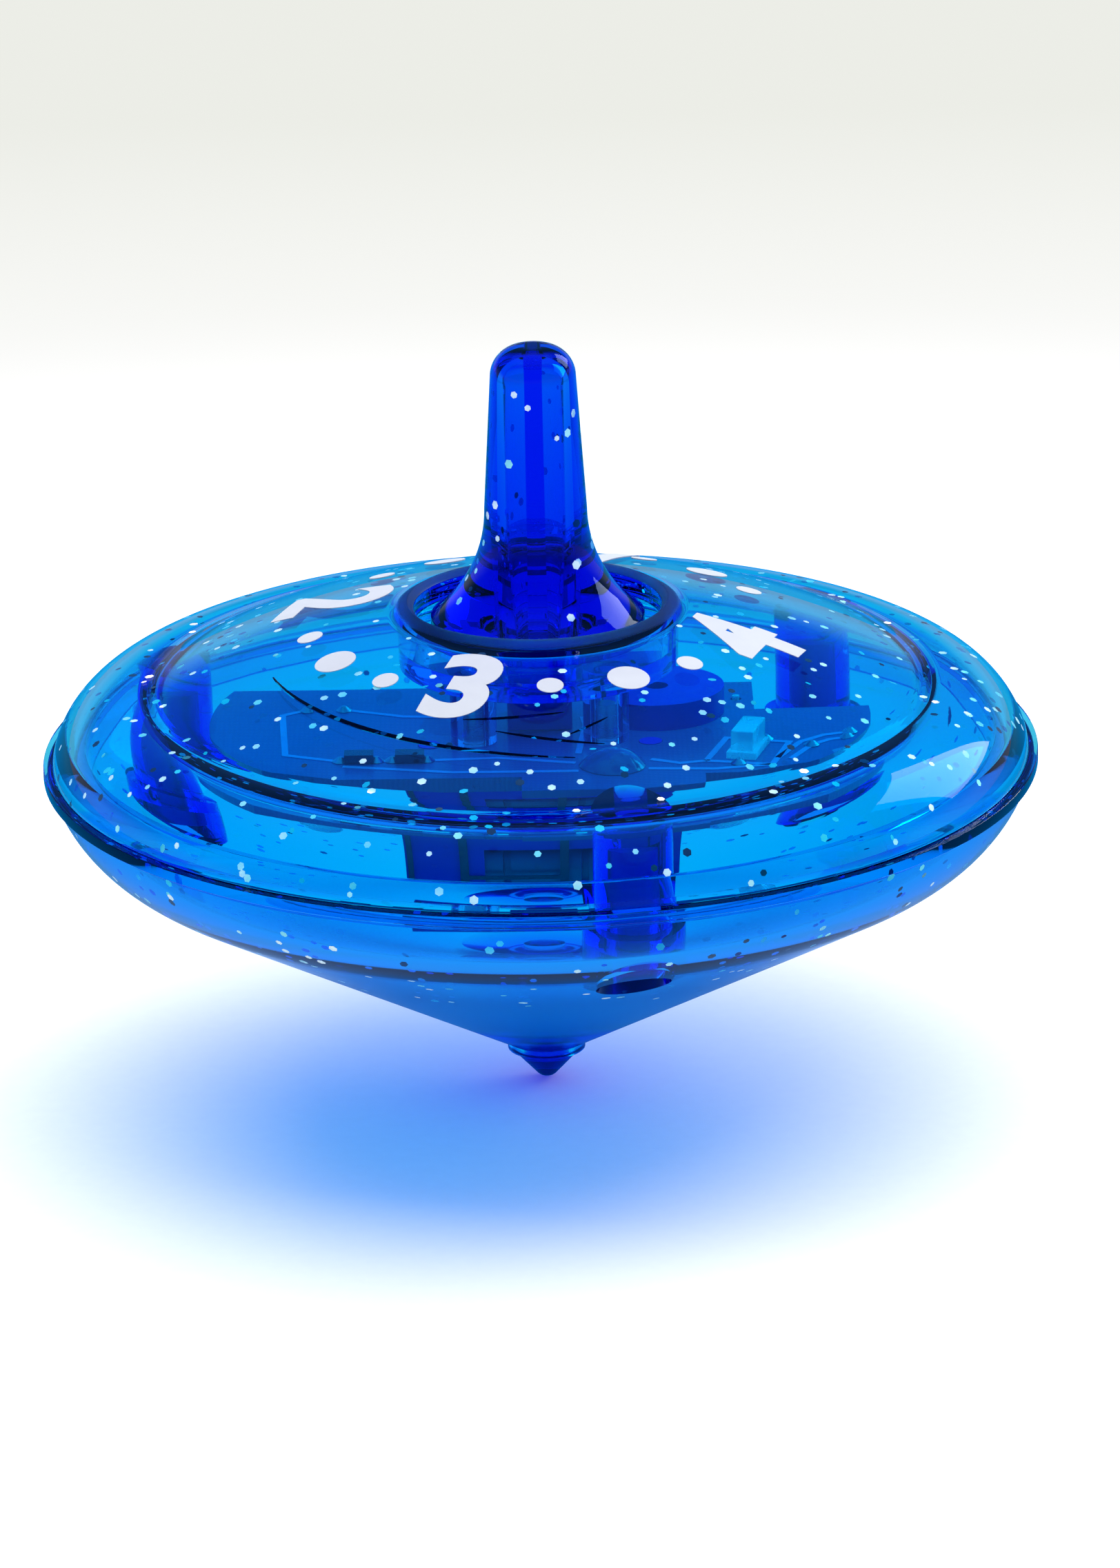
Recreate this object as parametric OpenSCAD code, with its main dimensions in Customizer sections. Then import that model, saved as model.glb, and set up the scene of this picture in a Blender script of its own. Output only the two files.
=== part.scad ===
// Light-up spinning top: two clear shells on a pointed tip, a hollow finger stem that presses a switch,
// a lamp board under the dome and a box of button cells below it.
// The origin is the bottom of the tip, +Z is the spin axis and -Y is the front. Sizes are in millimetres.

/* [Case] */
// Diameter across the flange at the seam
case_d = 70; // [66:0.5:76]
// Height of the seam above the tip
seam_h = 24.5; // [23.5:0.25:27]
// Wall thickness of both shells
wall = 1.6; // [1.2:0.1:2]
// How far the flange stands out past the upper shell
flange_step = 0.65; // [0.4:0.05:1]
// Thickness of the flange
flange_t = 0.8; // [0.6:0.1:1.2]
// Depth of the locating lip that the upper shell puts inside the lower one
lip_h = 1.5; // [1:0.25:2.5]
// Thickness of the locating lip
lip_t = 0.9; // [0.7:0.1:1.2]
// Height of the step that joins the locating lip to the upper shell
lip_root_h = 1.2; // [0.8:0.1:2]

/* [Upper shell] */
// Radius of the round shoulder above the seam
shoulder_r = 6; // [5:0.25:7]
// Height of the seam above the shoulder's centre
shoulder_drop = 0.9; // [0.5:0.1:1.5]
// How far the groove ring lies inside the shoulder's centre
groove_in = 0.9; // [0.5:0.1:1.5]
// Half width of the groove ring
groove_half_w = 0.35; // [0.2:0.05:0.5]
// Depth of the groove ring
groove_depth = 0.35; // [0.2:0.05:0.5]
// Radius of the sphere that the cap is cut from
cap_sphere_r = 62; // [54:1:80]

/* [Lower shell] */
// Slope of the dish above level, in degrees
dish_slope = 29; // [26:0.5:32]
// Radius of the bend between the dish and its wall
dish_bend_r = 10; // [7:0.5:12]

/* [Tip] */
// Radius of the rounded end of the tip
nose_r = 1; // [0.6:0.1:1.4]
// Half angle of the tip's cone, in degrees
tip_half_angle = 42; // [36:1:48]
// Radius of the tip where it meets the shell
tip_r = 2.4; // [2:0.1:3]
// Radius of the tip's pressed shank
tip_shank_r = 1.5; // [1.2:0.1:1.8]
// Length of the tip's pressed shank
tip_shank_h = 4; // [3:0.25:5]
// Wall of the socket that holds the shank
tip_socket_wall = 1.25; // [1:0.05:1.6]
// Height of the socket's bare rim below the dish
tip_rim_h = 0.6; // [0.3:0.05:0.9]

/* [Well] */
// Radius of the well that the stem stands in
well_r = 8.7; // [8:0.1:10]
// Wall of the well
well_wall = 1; // [0.8:0.1:1.4]
// Depth of the well below the collar
well_depth = 4; // [3.5:0.25:5]
// Thickness of the well's floor
well_floor_t = 1.2; // [1:0.1:1.6]
// Width of the sloped collar round the well
collar_w = 1.3; // [1:0.1:1.6]
// Rise of the sloped collar
collar_rise = 0.5; // [0.3:0.05:0.8]

/* [Stem] */
// Overall height from the tip to the top of the stem
overall_h = 54.1; // [50:0.1:60]
// Radius of the stem just below its rounded top
stem_top_r = 3; // [2.8:0.1:3.3]
// Radius of the stem where its flare begins
stem_root_r = 3.6; // [3.4:0.1:4]
// Radius of the rounding at the top of the stem
stem_round_r = 2.2; // [1.6:0.1:2.6]
// Radius of the flare at the foot of the stem
flare_r = 9.6; // [8:0.1:11]
// Gap between the stem's skirt and the well
skirt_gap = 1.2; // [0.8:0.1:1.6]
// How far the top of the skirt lies below the collar
skirt_sink = 1.05; // [0.8:0.05:1.5]
// Room left below the skirt when the stem is pressed
skirt_room = 0.25; // [0.15:0.05:0.5]
// Thickness of the skirt
skirt_t = 0.9; // [0.7:0.1:1.2]
// Thickness of the plate above the skirt
skirt_plate_t = 1.1; // [0.8:0.1:1.4]
// Radius of the column that slides through the well's floor
column_r = 2.95; // [2.8:0.05:3.2]
// Radius of the cored pockets inside the stem
core_r = 2.1; // [1.6:0.1:2.2]
// Thickness of the cross of ribs between the pockets
core_rib_t = 1.1; // [0.8:0.1:1.4]
// Solid length left above the pockets
core_roof = 1.1; // [0.9:0.1:8]
// Radius of the rounding at the top of the pockets
core_round_r = 1.4; // [0.8:0.1:1.6]
// Width of the two keys that stop the stem from turning
key_w = 1.2; // [0.8:0.1:1.6]
// How far the keys stand out from the column
key_out = 0.7; // [0.5:0.05:1]
// Travel of the stem when it is pressed
press_travel = 0.5; // [0.3:0.05:0.6]
// Running clearance between the column and the floor
slide_gap = 0.08; // [0.05:0.01:0.1]
// Gap between the stem and the plunger that it presses
press_gap = 0.1; // [0.05:0.05:0.2]

/* [Stem clip] */
// Thickness of the clip below the floor
clip_t = 0.5; // [0.4:0.05:0.7]
// Outer radius of the clip
clip_r = 4.3; // [4:0.1:4.6]
// Depth of the clip's groove in the column
clip_groove = 0.35; // [0.25:0.05:0.45]
// Width of the opening in the clip
clip_mouth = 3.2; // [2.6:0.1:4]
// Length of the column below the clip
clip_end = 0.6; // [0.5:0.05:0.9]

/* [Case screws] */
// Distance of the screws from the edge of the flange
pillar_inset = 8; // [7:0.25:9]
// Turn of the first screw to the right of the front, in degrees
pillar_turn = 13; // [8:1:18]
// Diameter of the upper bosses
boss_d = 5.4; // [5:0.1:6]
// Diameter of the screw head recess
recess_d = 5.2; // [4.9:0.1:5.6]
// Wall round the recess
recess_wall = 0.9; // [0.7:0.1:1.2]
// Thickness of the floor that the screw pulls on
pillar_floor_t = 1.5; // [1.2:0.1:2]
// Depth that the head lies below the dish
head_sink = 0.3; // [0.2:0.05:0.6]
// Diameter of the screw head
head_d = 4.4; // [4:0.1:4.6]
// Height of the screw head
head_h = 1.6; // [1.3:0.1:1.9]
// Diameter of the screw shank
shank_d = 2.2; // [2:0.1:2.6]
// Room left above the end of the screw
shank_room = 1.65; // [1:0.05:2.5]
// Clearance of the screw in the pillar's floor
shank_gap = 0.15; // [0.1:0.05:0.25]

/* [Board] */
// Gap between the ends of the board and the bosses
board_gap = 1.3; // [1:0.1:2.5]
// Distance of the back edge from the axis
board_back = 8; // [7:0.25:9]
// Distance of the front edge from the axis
board_front = 12.4; // [12:0.25:13]
// Thickness of the board
board_t = 1; // [0.8:0.1:1.2]
// Length of the tab on the front edge
tab_out = 3; // [2.5:0.25:3.5]
// Width of the tab on the front edge
tab_w = 12.6; // [12:0.25:14]
// Width of the notch in the right end
notch_w = 8; // [7:0.25:9]
// Depth of the notch in the right end
notch_depth = 6.5; // [6:0.25:7]
// Distance of the board screws from the axis along X
post_x = 4.6; // [4.5:0.05:4.8]
// Distance of the board screws from the axis along Y
post_y = 4.3; // [4.2:0.05:4.4]
// Diameter of the posts that the board is screwed to
post_d = 3.2; // [3:0.1:3.4]
// Diameter of the board screw heads
post_head_d = 2.8; // [2.6:0.1:3]
// Height of the board screw heads
post_head_h = 0.9; // [0.7:0.1:1]
// Diameter of the board screw shanks
post_shank_d = 1.4; // [1.2:0.1:1.6]
// Depth of the board screws in their posts
post_depth = 2.6; // [2:0.1:3]

/* [Board pieces] */
// Length of plunger left above the cover when the stem is pressed
plunger_spare = 0.17; // [0.1:0.01:0.3]
// Side of the push switch
switch_side = 4.5; // [4.2:0.1:4.8]
// Height of the push switch's body
switch_body_h = 2; // [1.8:0.05:2.1]
// Radius of the push switch's plunger
plunger_r = 1.2; // [1:0.05:1.4]
// Width of the plunger's lip, which the cover keeps in
plunger_lip_w = 0.4; // [0.3:0.05:0.5]
// Thickness of the plunger's lip
plunger_lip_t = 0.4; // [0.3:0.05:0.5]
// Thickness of the push switch's cover
switch_cover_t = 0.2; // [0.15:0.05:0.25]
// Thickness of the push switch's floor
switch_floor_t = 0.5; // [0.4:0.05:0.6]
// Thickness of the snap dome
dome_t = 0.12; // [0.08:0.01:0.15]
// Diameter of the sealing drop over the chip
chip_d = 4.8; // [4.4:0.1:5.4]
// Height of the sealing drop over the chip
chip_h = 1.1; // [0.9:0.05:1.4]
// Width of the upper lamp's lens
lamp_side = 1.6; // [1.4:0.1:2.4]
// Length of the upper lamp's lens
lamp_long = 3.4; // [2.8:0.1:3.8]
// Height of the upper lamp
lamp_h = 1.9; // [1.6:0.1:2.4]
// Turn of the upper lamp on the board, in degrees
lamp_turn = -16; // [-30:1:0]
// Diameter of the lower lamps
low_lamp_d = 3; // [2.8:0.1:3.4]
// Length of the lower lamps
low_lamp_h = 4.4; // [4:0.1:5]
// Diameter of the buzzer
buzzer_d = 9.4; // [9:0.1:9.5]
// Height of the buzzer
buzzer_h = 1.8; // [1.5:0.1:2.2]
// Wall of the buzzer
buzzer_wall = 0.5; // [0.4:0.05:0.6]
// Width of the ledge that carries the buzzer's plate
buzzer_ledge_w = 0.5; // [0.3:0.05:0.7]
// Room above the buzzer's plate
buzzer_room = 0.4; // [0.3:0.05:0.6]
// Radius of the sound hole
buzzer_hole_r = 0.8; // [0.6:0.1:1.2]
// Thickness of the buzzer's plate
buzzer_plate_t = 0.25; // [0.2:0.05:0.3]

/* [Battery] */
// Diameter of a button cell
cell_d = 11.6; // [11.4:0.1:11.8]
// Thickness of a button cell
cell_t = 5.4; // [5.2:0.1:5.6]
// Height of the step at the narrow end of a cell
cell_step_h = 0.5; // [0.3:0.1:0.8]
// Width of the step at the narrow end of a cell
cell_step_w = 0.9; // [0.6:0.1:1.2]
// Room left between the cells and the board
cell_head = 1.2; // [1.1:0.05:1.5]
// Wall of the battery box
box_wall = 0.9; // [0.8:0.1:1.2]
// Thickness of the contact plates
contact_t = 0.3; // [0.2:0.05:0.4]
// Side of the contact plates
contact_side = 7; // [6:0.5:8]
// Width of the contact feet
contact_foot_w = 2.4; // [2:0.1:3]
// Length of the contact feet outside the box
contact_foot_l = 1.8; // [1.4:0.1:2.4]
// Diameter of the pegs that hold the box to the board
peg_d = 1.6; // [1.4:0.1:1.8]
// Plastic left round the pegs
peg_wall = 0.1; // [0.05:0.05:0.2]
// Width of the window in the front of the box
window_w = 8; // [6:0.5:10]
// Height of the window in the front of the box
window_h = 7; // [5:0.5:8]

/* [Hidden] */

$fn = 72;
PILLARS = 3;
CELLS = 3;
// Clearance between pieces that seat on each other
fit_gap = 0.04;
// Clearance of the locating lip and of loose pegs
easy_gap = 0.15;
// Extra length that takes a cut clear of a face
cut = 1;
// Number of facets on a large arc
big_fn = 240;
// Length and width of a cross slot as shares of the screw's head
slot_long = 0.6;
slot_wide = 0.16;

case_r = case_d / 2;
rim_r = case_r - flange_step;

// Upper shell: the shoulder passes through the rim, and the cap meets the shoulder at the groove
shoulder_c = [rim_r - sqrt(pow(shoulder_r, 2) - pow(shoulder_drop, 2)), seam_h - shoulder_drop];
groove_r = shoulder_c.x - groove_in;
groove_z = shoulder_c.y + sqrt(pow(shoulder_r, 2) - pow(groove_in, 2));
cap_c = groove_z - sqrt(pow(cap_sphere_r, 2) - pow(groove_r, 2));
function cap_z(r, inset = 0) = cap_c + sqrt(pow(cap_sphere_r - inset, 2) - r * r);
function shoulder_z(r, inset) = shoulder_c.y + sqrt(pow(shoulder_r - inset, 2) - pow(r - shoulder_c.x, 2));
function roof_z(r) = r < groove_r ? cap_z(r, wall) : shoulder_z(r, wall);

// Tip and dish
tip_h = nose_r * (1 - sin(tip_half_angle)) + (tip_r - nose_r * cos(tip_half_angle)) / tan(tip_half_angle);
socket_r = tip_shank_r + tip_socket_wall;
dish_z0 = tip_h + tip_rim_h;
dish_bend_x = case_r - dish_bend_r;
dish_tangent_r = dish_bend_x + dish_bend_r * sin(dish_slope);
function dish_z(r) = dish_z0 + (r - socket_r) * tan(dish_slope);
dish_c = [dish_bend_x, dish_z(dish_tangent_r) + dish_bend_r * cos(dish_slope)];
function dish_r(z, inset) = dish_c.x + sqrt(pow(dish_bend_r - inset, 2) - pow(min(z - dish_c.y, 0), 2));
lip_r = dish_r(seam_h - lip_h, wall) - easy_gap;

// Case screws
pillar_ring_r = case_r - pillar_inset;
recess_r = recess_d / 2;
pillar_r = recess_r + recess_wall;
seat_z = dish_z(pillar_ring_r + recess_r) + head_h + head_sink;
pillar_top = seat_z + pillar_floor_t;
boss_z = pillar_top + fit_gap;
pilot_top = roof_z(pillar_ring_r);
head_z = seat_z - fit_gap - head_h;
shank_len = pilot_top - shank_room - head_z - head_h;

// Row of cells and its box
cell_r = cell_d / 2;
stack_l = CELLS * cell_t;
contact_gap = 0.05;
box_in_x = stack_l / 2 + contact_gap + contact_t + fit_gap + contact_gap;
box_in_y = cell_r + easy_gap;
box_x = box_in_x + box_wall;
box_y = box_in_y + box_wall;

// Heights of what stands below the well: box, board, switch, and the stem's end with its clip
box_h = box_wall + fit_gap + cell_d + cell_head;
switch_h = 2 * fit_gap + switch_body_h + switch_cover_t + press_travel + plunger_spare;
end_h = press_gap + clip_end + clip_t + fit_gap;
below_h = box_h + board_t + switch_h + end_h;

// Well: the collar stands on the cap, or higher where the box below would touch the dish
collar_r = well_r + collar_w;
box_seat = dish_z(norm([box_x, box_y])) + wall / cos(dish_slope) + easy_gap;
collar_top = max(cap_z(collar_r) + collar_rise, box_seat + below_h + well_floor_t + well_depth);
floor_top = collar_top - well_depth;
floor_z = floor_top - well_floor_t;

// Stem
skirt_r = well_r - skirt_gap;
skirt_top = collar_top - skirt_sink;
skirt_z = floor_top + press_travel + skirt_room;
flare_fit_r = max(flare_r, skirt_r - stem_root_r);
flare_x = stem_root_r + flare_fit_r;
flare_z = skirt_top + sqrt(pow(flare_fit_r, 2) - pow(flare_x - skirt_r, 2));
clip_top = floor_z - fit_gap;
clip_z = clip_top - clip_t;
foot_z = clip_z - clip_end;
groove_bed_r = column_r - clip_groove;

// Board and the push switch below the stem
plunger_top = foot_z - press_gap;
board_top = plunger_top - switch_h;
board_z = board_top - board_t;
board_r = pillar_ring_r - boss_d / 2 - board_gap;
dome_r = plunger_r + plunger_lip_w;
cover_z = board_top + switch_body_h + 2 * fit_gap;
dome_z = board_top + fit_gap + switch_floor_t + fit_gap;
plunger_z = cover_z - fit_gap - plunger_lip_t;
switch_well_r = dome_r + easy_gap;
plate_z = buzzer_h - buzzer_wall - buzzer_room;

// Places on the board: the lower lamps stand beside the box, and the notch beside the right one
chip_at = [5, -10.2];
lamp_at = [14.3, -8.0];
left_lamp_out = 5.56;
right_lamp_out = 3.06;
notch_edge = 1.23;
left_lamp_at = [-box_x - left_lamp_out, 3];
right_lamp_at = [box_x + right_lamp_out, 4];
buzzer_at = [8.2, 1.6];
resistor_at = [[-9, -8.5], [-12.5, -8.5]];
// Sizes of a chip resistor and of the upper lamp's base
resistor_size = [2, 1.25, 0.6];
posts = [[-post_x, post_y], [-post_x, -post_y], [post_x, -post_y]];
lamp_lip = 0.25;
lamp_base = [lamp_side + 2 * lamp_lip, lamp_long + 2 * lamp_lip, 0.5];
lamp_leg_r = 0.25;
lamp_leg_gap = 1.27;
notch_x = right_lamp_at.x + lamp_leg_gap + notch_edge;

// Battery box
cell_z = board_z - cell_head - cell_r;
box_top = board_z - fit_gap;
box_z = board_z - box_h;
box_floor = box_z + box_wall;
peg_r = peg_d / 2;
peg_at = [box_in_x - peg_r - peg_wall, -(box_in_y - peg_r)];
peg_block = 2 * (peg_r + peg_wall);

module shell_blue() { color("dodgerblue", 0.45) children(); }

module at_pillars() {
    for (i = [0 : PILLARS - 1])
        rotate(pillar_turn - 90 + i * 360 / PILLARS)
            translate([pillar_ring_r, 0, 0]) children();
}

module at_posts() {
    for (p = posts) translate(p) children();
}

// Half section inside the upper shell's outer face, set in by a wall
module upper_section(inset, low) {
    intersection() {
        translate([0, low]) square([case_r, overall_h]);
        union() {
            translate(shoulder_c) circle(shoulder_r - inset);
            intersection() {
                translate([0, cap_c]) circle(cap_sphere_r - inset, $fn = big_fn);
                square([groove_r, overall_h]);
            }
            square([groove_r, shoulder_c.y]);
        }
    }
}

// Half section of the sloped collar and the well below it
module well_section() {
    polygon([
        [0, floor_z], [well_r + well_wall, floor_z], [well_r + well_wall, cap_z(collar_r) - wall],
        [collar_r, cap_z(collar_r) - wall], [collar_r, cap_z(collar_r)], [well_r, collar_top],
        [well_r, floor_top], [0, floor_top]
    ]);
}

module groove_section() {
    reach = groove_depth * 2;
    polygon([
        [groove_r - groove_half_w * 3, groove_z + reach], [groove_r, groove_z - groove_depth],
        [groove_r + groove_half_w * 3, groove_z + reach]
    ]);
}

module lip_section() {
    translate([lip_r - lip_t, seam_h - lip_h]) square([lip_t, lip_h + lip_root_h]);
    translate([lip_r - lip_t, seam_h]) square([rim_r - wall / 2 - lip_r + lip_t, lip_root_h]);
}

// Dome with its shoulder, groove ring, well, bosses, posts and locating lip
module upper_shell() {
    shell_blue() difference() {
        union() {
            rotate_extrude(convexity = 6) difference() {
                upper_section(0, seam_h);
                upper_section(wall, seam_h - cut);
                groove_section();
                square([collar_r - collar_w / 2, overall_h]);
            }
            rotate_extrude(convexity = 4) well_section();
            difference() {
                rotate_extrude(convexity = 4) lip_section();
                at_pillars() cylinder(r = pillar_r + easy_gap, h = boss_z);
            }
            intersection() {
                rotate_extrude(convexity = 4) upper_section(wall / 2, 0);
                at_pillars() translate([0, 0, boss_z]) cylinder(d = boss_d, h = overall_h);
            }
            at_posts() translate([0, 0, board_top + fit_gap])
                cylinder(d = post_d, h = floor_z - board_top + well_floor_t / 2);
        }
        at_pillars() translate([0, 0, boss_z - cut])
            cylinder(d = shank_d + 2 * fit_gap, h = pilot_top - boss_z + cut);
        at_posts() translate([0, 0, board_top - cut])
            cylinder(d = post_shank_d + 2 * fit_gap, h = post_depth + 2 * cut);
        translate([0, 0, floor_z - cut]) cylinder(r = column_r + slide_gap, h = well_depth);
        translate([0, 0, floor_z - cut]) linear_extrude(well_depth)
            square([2 * (column_r + key_out + easy_gap), key_w + 2 * easy_gap], center = true);
    }
}

// Half section inside the lower shell's outer face, set in by a wall
module lower_section(inset) {
    tangent = dish_c + (dish_bend_r - inset) * [sin(dish_slope), -cos(dish_slope)];
    intersection() {
        square([case_r, seam_h]);
        union() {
            translate(dish_c) circle(dish_bend_r - inset);
            polygon([[0, tangent.y - tangent.x * tan(dish_slope)], tangent, dish_c, [0, dish_c.y]]);
            if (dish_c.y < seam_h)
                translate([0, dish_c.y]) square([case_r - inset, seam_h - dish_c.y]);
        }
    }
}

// Conical dish with its flange, screw pillars and tip socket
module lower_shell() {
    shell_blue() difference() {
        union() {
            rotate_extrude(convexity = 6) difference() {
                lower_section(0);
                lower_section(wall);
                square([socket_r - wall / 4, seam_h]);
            }
            translate([0, 0, seam_h - flange_t]) difference() {
                cylinder(r = case_r, h = flange_t);
                translate([0, 0, -cut]) cylinder(r = lip_r + easy_gap + wall / 2, h = flange_t + 2 * cut);
            }
            translate([0, 0, tip_h]) cylinder(r = socket_r, h = tip_shank_h + 2 * fit_gap + wall);
            intersection() {
                rotate_extrude(convexity = 4) lower_section(wall / 2);
                at_pillars() cylinder(r = pillar_r, h = pillar_top);
            }
        }
        at_pillars() {
            cylinder(r = recess_r, h = seat_z);
            cylinder(r = shank_d / 2 + shank_gap, h = pillar_top + cut);
        }
        cylinder(r = tip_shank_r + fit_gap, h = tip_h + tip_shank_h + fit_gap);
        translate([0, 0, -cut]) cylinder(r = socket_r + cut, h = tip_h + cut);
    }
}

// Pressed tip: a round nose, a cone and a shank
module spinning_tip() {
    tangent = nose_r * [cos(tip_half_angle), 1 - sin(tip_half_angle)];
    top_z = tip_h - fit_gap;
    color("midnightblue") {
        rotate_extrude() union() {
            intersection() {
                translate([0, nose_r]) circle(nose_r);
                square([nose_r, tip_h]);
            }
            polygon([
                [0, nose_r], tangent, [tip_r, top_z], [tip_shank_r, top_z],
                [tip_shank_r, tip_h + tip_shank_h], [0, tip_h + tip_shank_h]
            ]);
        }
    }
}

// Half section of the stem: column, skirt, flare and rounded top
module stem_section() {
    round_c = [stem_top_r - stem_round_r, overall_h - stem_round_r];
    difference() {
        union() {
            polygon([
                [0, foot_z], [column_r, foot_z], [column_r, skirt_top - skirt_plate_t],
                [skirt_r - skirt_t, skirt_top - skirt_plate_t], [skirt_r - skirt_t, skirt_z],
                [skirt_r, skirt_z], [skirt_r, skirt_top], [flare_x, flare_z],
                [stem_root_r, flare_z], [stem_top_r, round_c.y], [round_c.x, round_c.y],
                [round_c.x, overall_h], [0, overall_h]
            ]);
            intersection() {
                translate(round_c) circle(stem_round_r);
                translate([round_c.x, round_c.y]) square(stem_round_r);
            }
        }
        translate([flare_x, flare_z]) circle(flare_fit_r);
        translate([groove_bed_r, clip_z - fit_gap]) square([column_r, clip_t + 2 * fit_gap]);
    }
}

// Half section of the pockets inside the stem, rounded at the top like the stem
module core_section() {
    core_top = overall_h - core_roof;
    round_c = [core_r - core_round_r, core_top - core_round_r];
    translate([0, foot_z - cut]) square([core_r, round_c.y - foot_z + cut]);
    translate([0, foot_z - cut]) square([round_c.x, core_top - foot_z + cut]);
    translate(round_c) intersection() {
        circle(core_round_r);
        square(core_round_r);
    }
}

// Hollow finger stem, cored out round a cross of ribs, with two keys on its column
module stem() {
    key_z = floor_z + fit_gap;
    shell_blue() difference() {
        union() {
            rotate_extrude(convexity = 6) stem_section();
            translate([0, 0, key_z]) linear_extrude(skirt_top - skirt_plate_t / 2 - key_z)
                square([2 * (column_r + key_out), key_w], center = true);
        }
        difference() {
            rotate_extrude() core_section();
            translate([0, 0, foot_z - 2 * cut]) linear_extrude(overall_h - foot_z) {
                square([core_rib_t, 2 * core_r + cut], center = true);
                square([2 * core_r + cut, core_rib_t], center = true);
            }
        }
    }
}

// Spring clip that keeps the stem in the floor
module stem_clip() {
    color("silver") translate([0, 0, clip_z]) difference() {
        cylinder(r = clip_r, h = clip_t);
        translate([0, 0, -cut]) cylinder(r = groove_bed_r + fit_gap, h = clip_t + 2 * cut);
        translate([0, clip_r / 2, 0]) cube([clip_mouth, clip_r + cut, 4 * clip_t], center = true);
    }
}

// Pan head screw with a cross slot, head down, whose head starts at z = 0
module screw(head_d, head_h, shank_d, shank_len) {
    slot = [head_d * slot_long, head_d * slot_wide, head_h];
    difference() {
        cylinder(d = head_d, h = head_h);
        cube(slot, center = true);
        cube([slot.y, slot.x, slot.z], center = true);
    }
    cylinder(d = shank_d, h = head_h + shank_len);
}

module case_screws() {
    color("silver") at_pillars() translate([0, 0, head_z]) screw(head_d, head_h, shank_d, shank_len);
}

module board_screws() {
    color("silver") at_posts() translate([0, 0, board_z - fit_gap - post_head_h])
        screw(post_head_d, post_head_h, post_shank_d, board_t + fit_gap + post_depth);
}

module board_outline() {
    intersection() {
        circle(board_r);
        difference() {
            union() {
                translate([-board_r, -board_front]) square([2 * board_r, board_front + board_back]);
                translate([chip_at.x - tab_w / 2, -board_front - tab_out]) square([tab_w, tab_out + cut]);
            }
            translate([notch_x, board_back - notch_depth]) square([notch_w, notch_depth + cut]);
        }
    }
}

// Lamp board, with holes for its screws, the box's pegs and the lower lamps' legs
module circuit_board() {
    color("darkgreen") translate([0, 0, board_z]) linear_extrude(board_t) difference() {
        board_outline();
        at_posts() circle(d = post_shank_d + 2 * easy_gap);
        for (side = [-1, 1]) translate([side * peg_at.x, peg_at.y]) circle(peg_r + fit_gap);
        for (at = [left_lamp_at, right_lamp_at], side = [-1, 1])
            translate([at.x + side * lamp_leg_gap, at.y]) circle(lamp_leg_r + easy_gap);
    }
}

// Sealing drop over the bonded chip
module chip_cover() {
    drop_r = (pow(chip_d / 2, 2) + pow(chip_h, 2)) / (2 * chip_h);
    color("black") translate([chip_at.x, chip_at.y, board_top + fit_gap]) intersection() {
        translate([0, 0, chip_h - drop_r]) sphere(drop_r);
        cylinder(d = chip_d + cut, h = chip_h + cut);
    }
}

module resistors() {
    color("dimgray") for (at = resistor_at)
        translate([at.x, at.y, board_top + fit_gap + resistor_size.z / 2]) cube(resistor_size, center = true);
}

// Push switch body, open at the top for the dome and the plunger
module switch_body() {
    color("black") translate([0, 0, board_top + fit_gap]) difference() {
        translate([-switch_side / 2, -switch_side / 2, 0]) cube([switch_side, switch_side, switch_body_h]);
        translate([0, 0, switch_floor_t]) cylinder(r = switch_well_r, h = switch_body_h);
    }
}

module switch_cover() {
    color("silver") translate([0, 0, cover_z]) linear_extrude(switch_cover_t) difference() {
        square(switch_side, center = true);
        circle(plunger_r + slide_gap);
    }
}

// Snap dome between the plunger and the body's floor
module switch_dome() {
    rise = plunger_z - fit_gap - dome_z;
    ball_r = (pow(dome_r, 2) + pow(rise, 2)) / (2 * rise);
    color("gold") translate([0, 0, dome_z]) intersection() {
        difference() {
            translate([0, 0, rise - ball_r]) sphere(ball_r);
            translate([0, 0, rise - ball_r]) sphere(ball_r - dome_t);
        }
        cylinder(r = dome_r + cut, h = rise + cut);
    }
}

module switch_plunger() {
    color("white") {
        translate([0, 0, plunger_z]) cylinder(r = plunger_r + plunger_lip_w, h = plunger_lip_t);
        translate([0, 0, plunger_z]) cylinder(r = plunger_r, h = plunger_top - plunger_z);
    }
}

// Block lamp on the upper side: a base and a long lens
module upper_lamp() {
    color("white") translate([lamp_at.x, lamp_at.y, board_top + fit_gap]) rotate(lamp_turn) {
        translate([0, 0, lamp_base.z / 2]) cube(lamp_base, center = true);
        translate([0, 0, lamp_h / 2]) cube([lamp_side, lamp_long, lamp_h], center = true);
    }
}

// Round lamp that hangs below the board on two legs
module low_lamp(at) {
    dome_r = low_lamp_d / 2;
    translate([at.x, at.y, board_z - fit_gap]) {
        translate([0, 0, dome_r - low_lamp_h]) cylinder(r = dome_r, h = low_lamp_h - dome_r);
        translate([0, 0, dome_r - low_lamp_h]) sphere(dome_r);
        for (side = [-1, 1]) translate([side * lamp_leg_gap, 0, -lamp_leg_r])
            cylinder(r = lamp_leg_r, h = board_t + fit_gap + 2 * lamp_leg_r);
    }
}

module left_lamp() { color("tomato") low_lamp(left_lamp_at); }

module right_lamp() { color("palegreen") low_lamp(right_lamp_at); }

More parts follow.
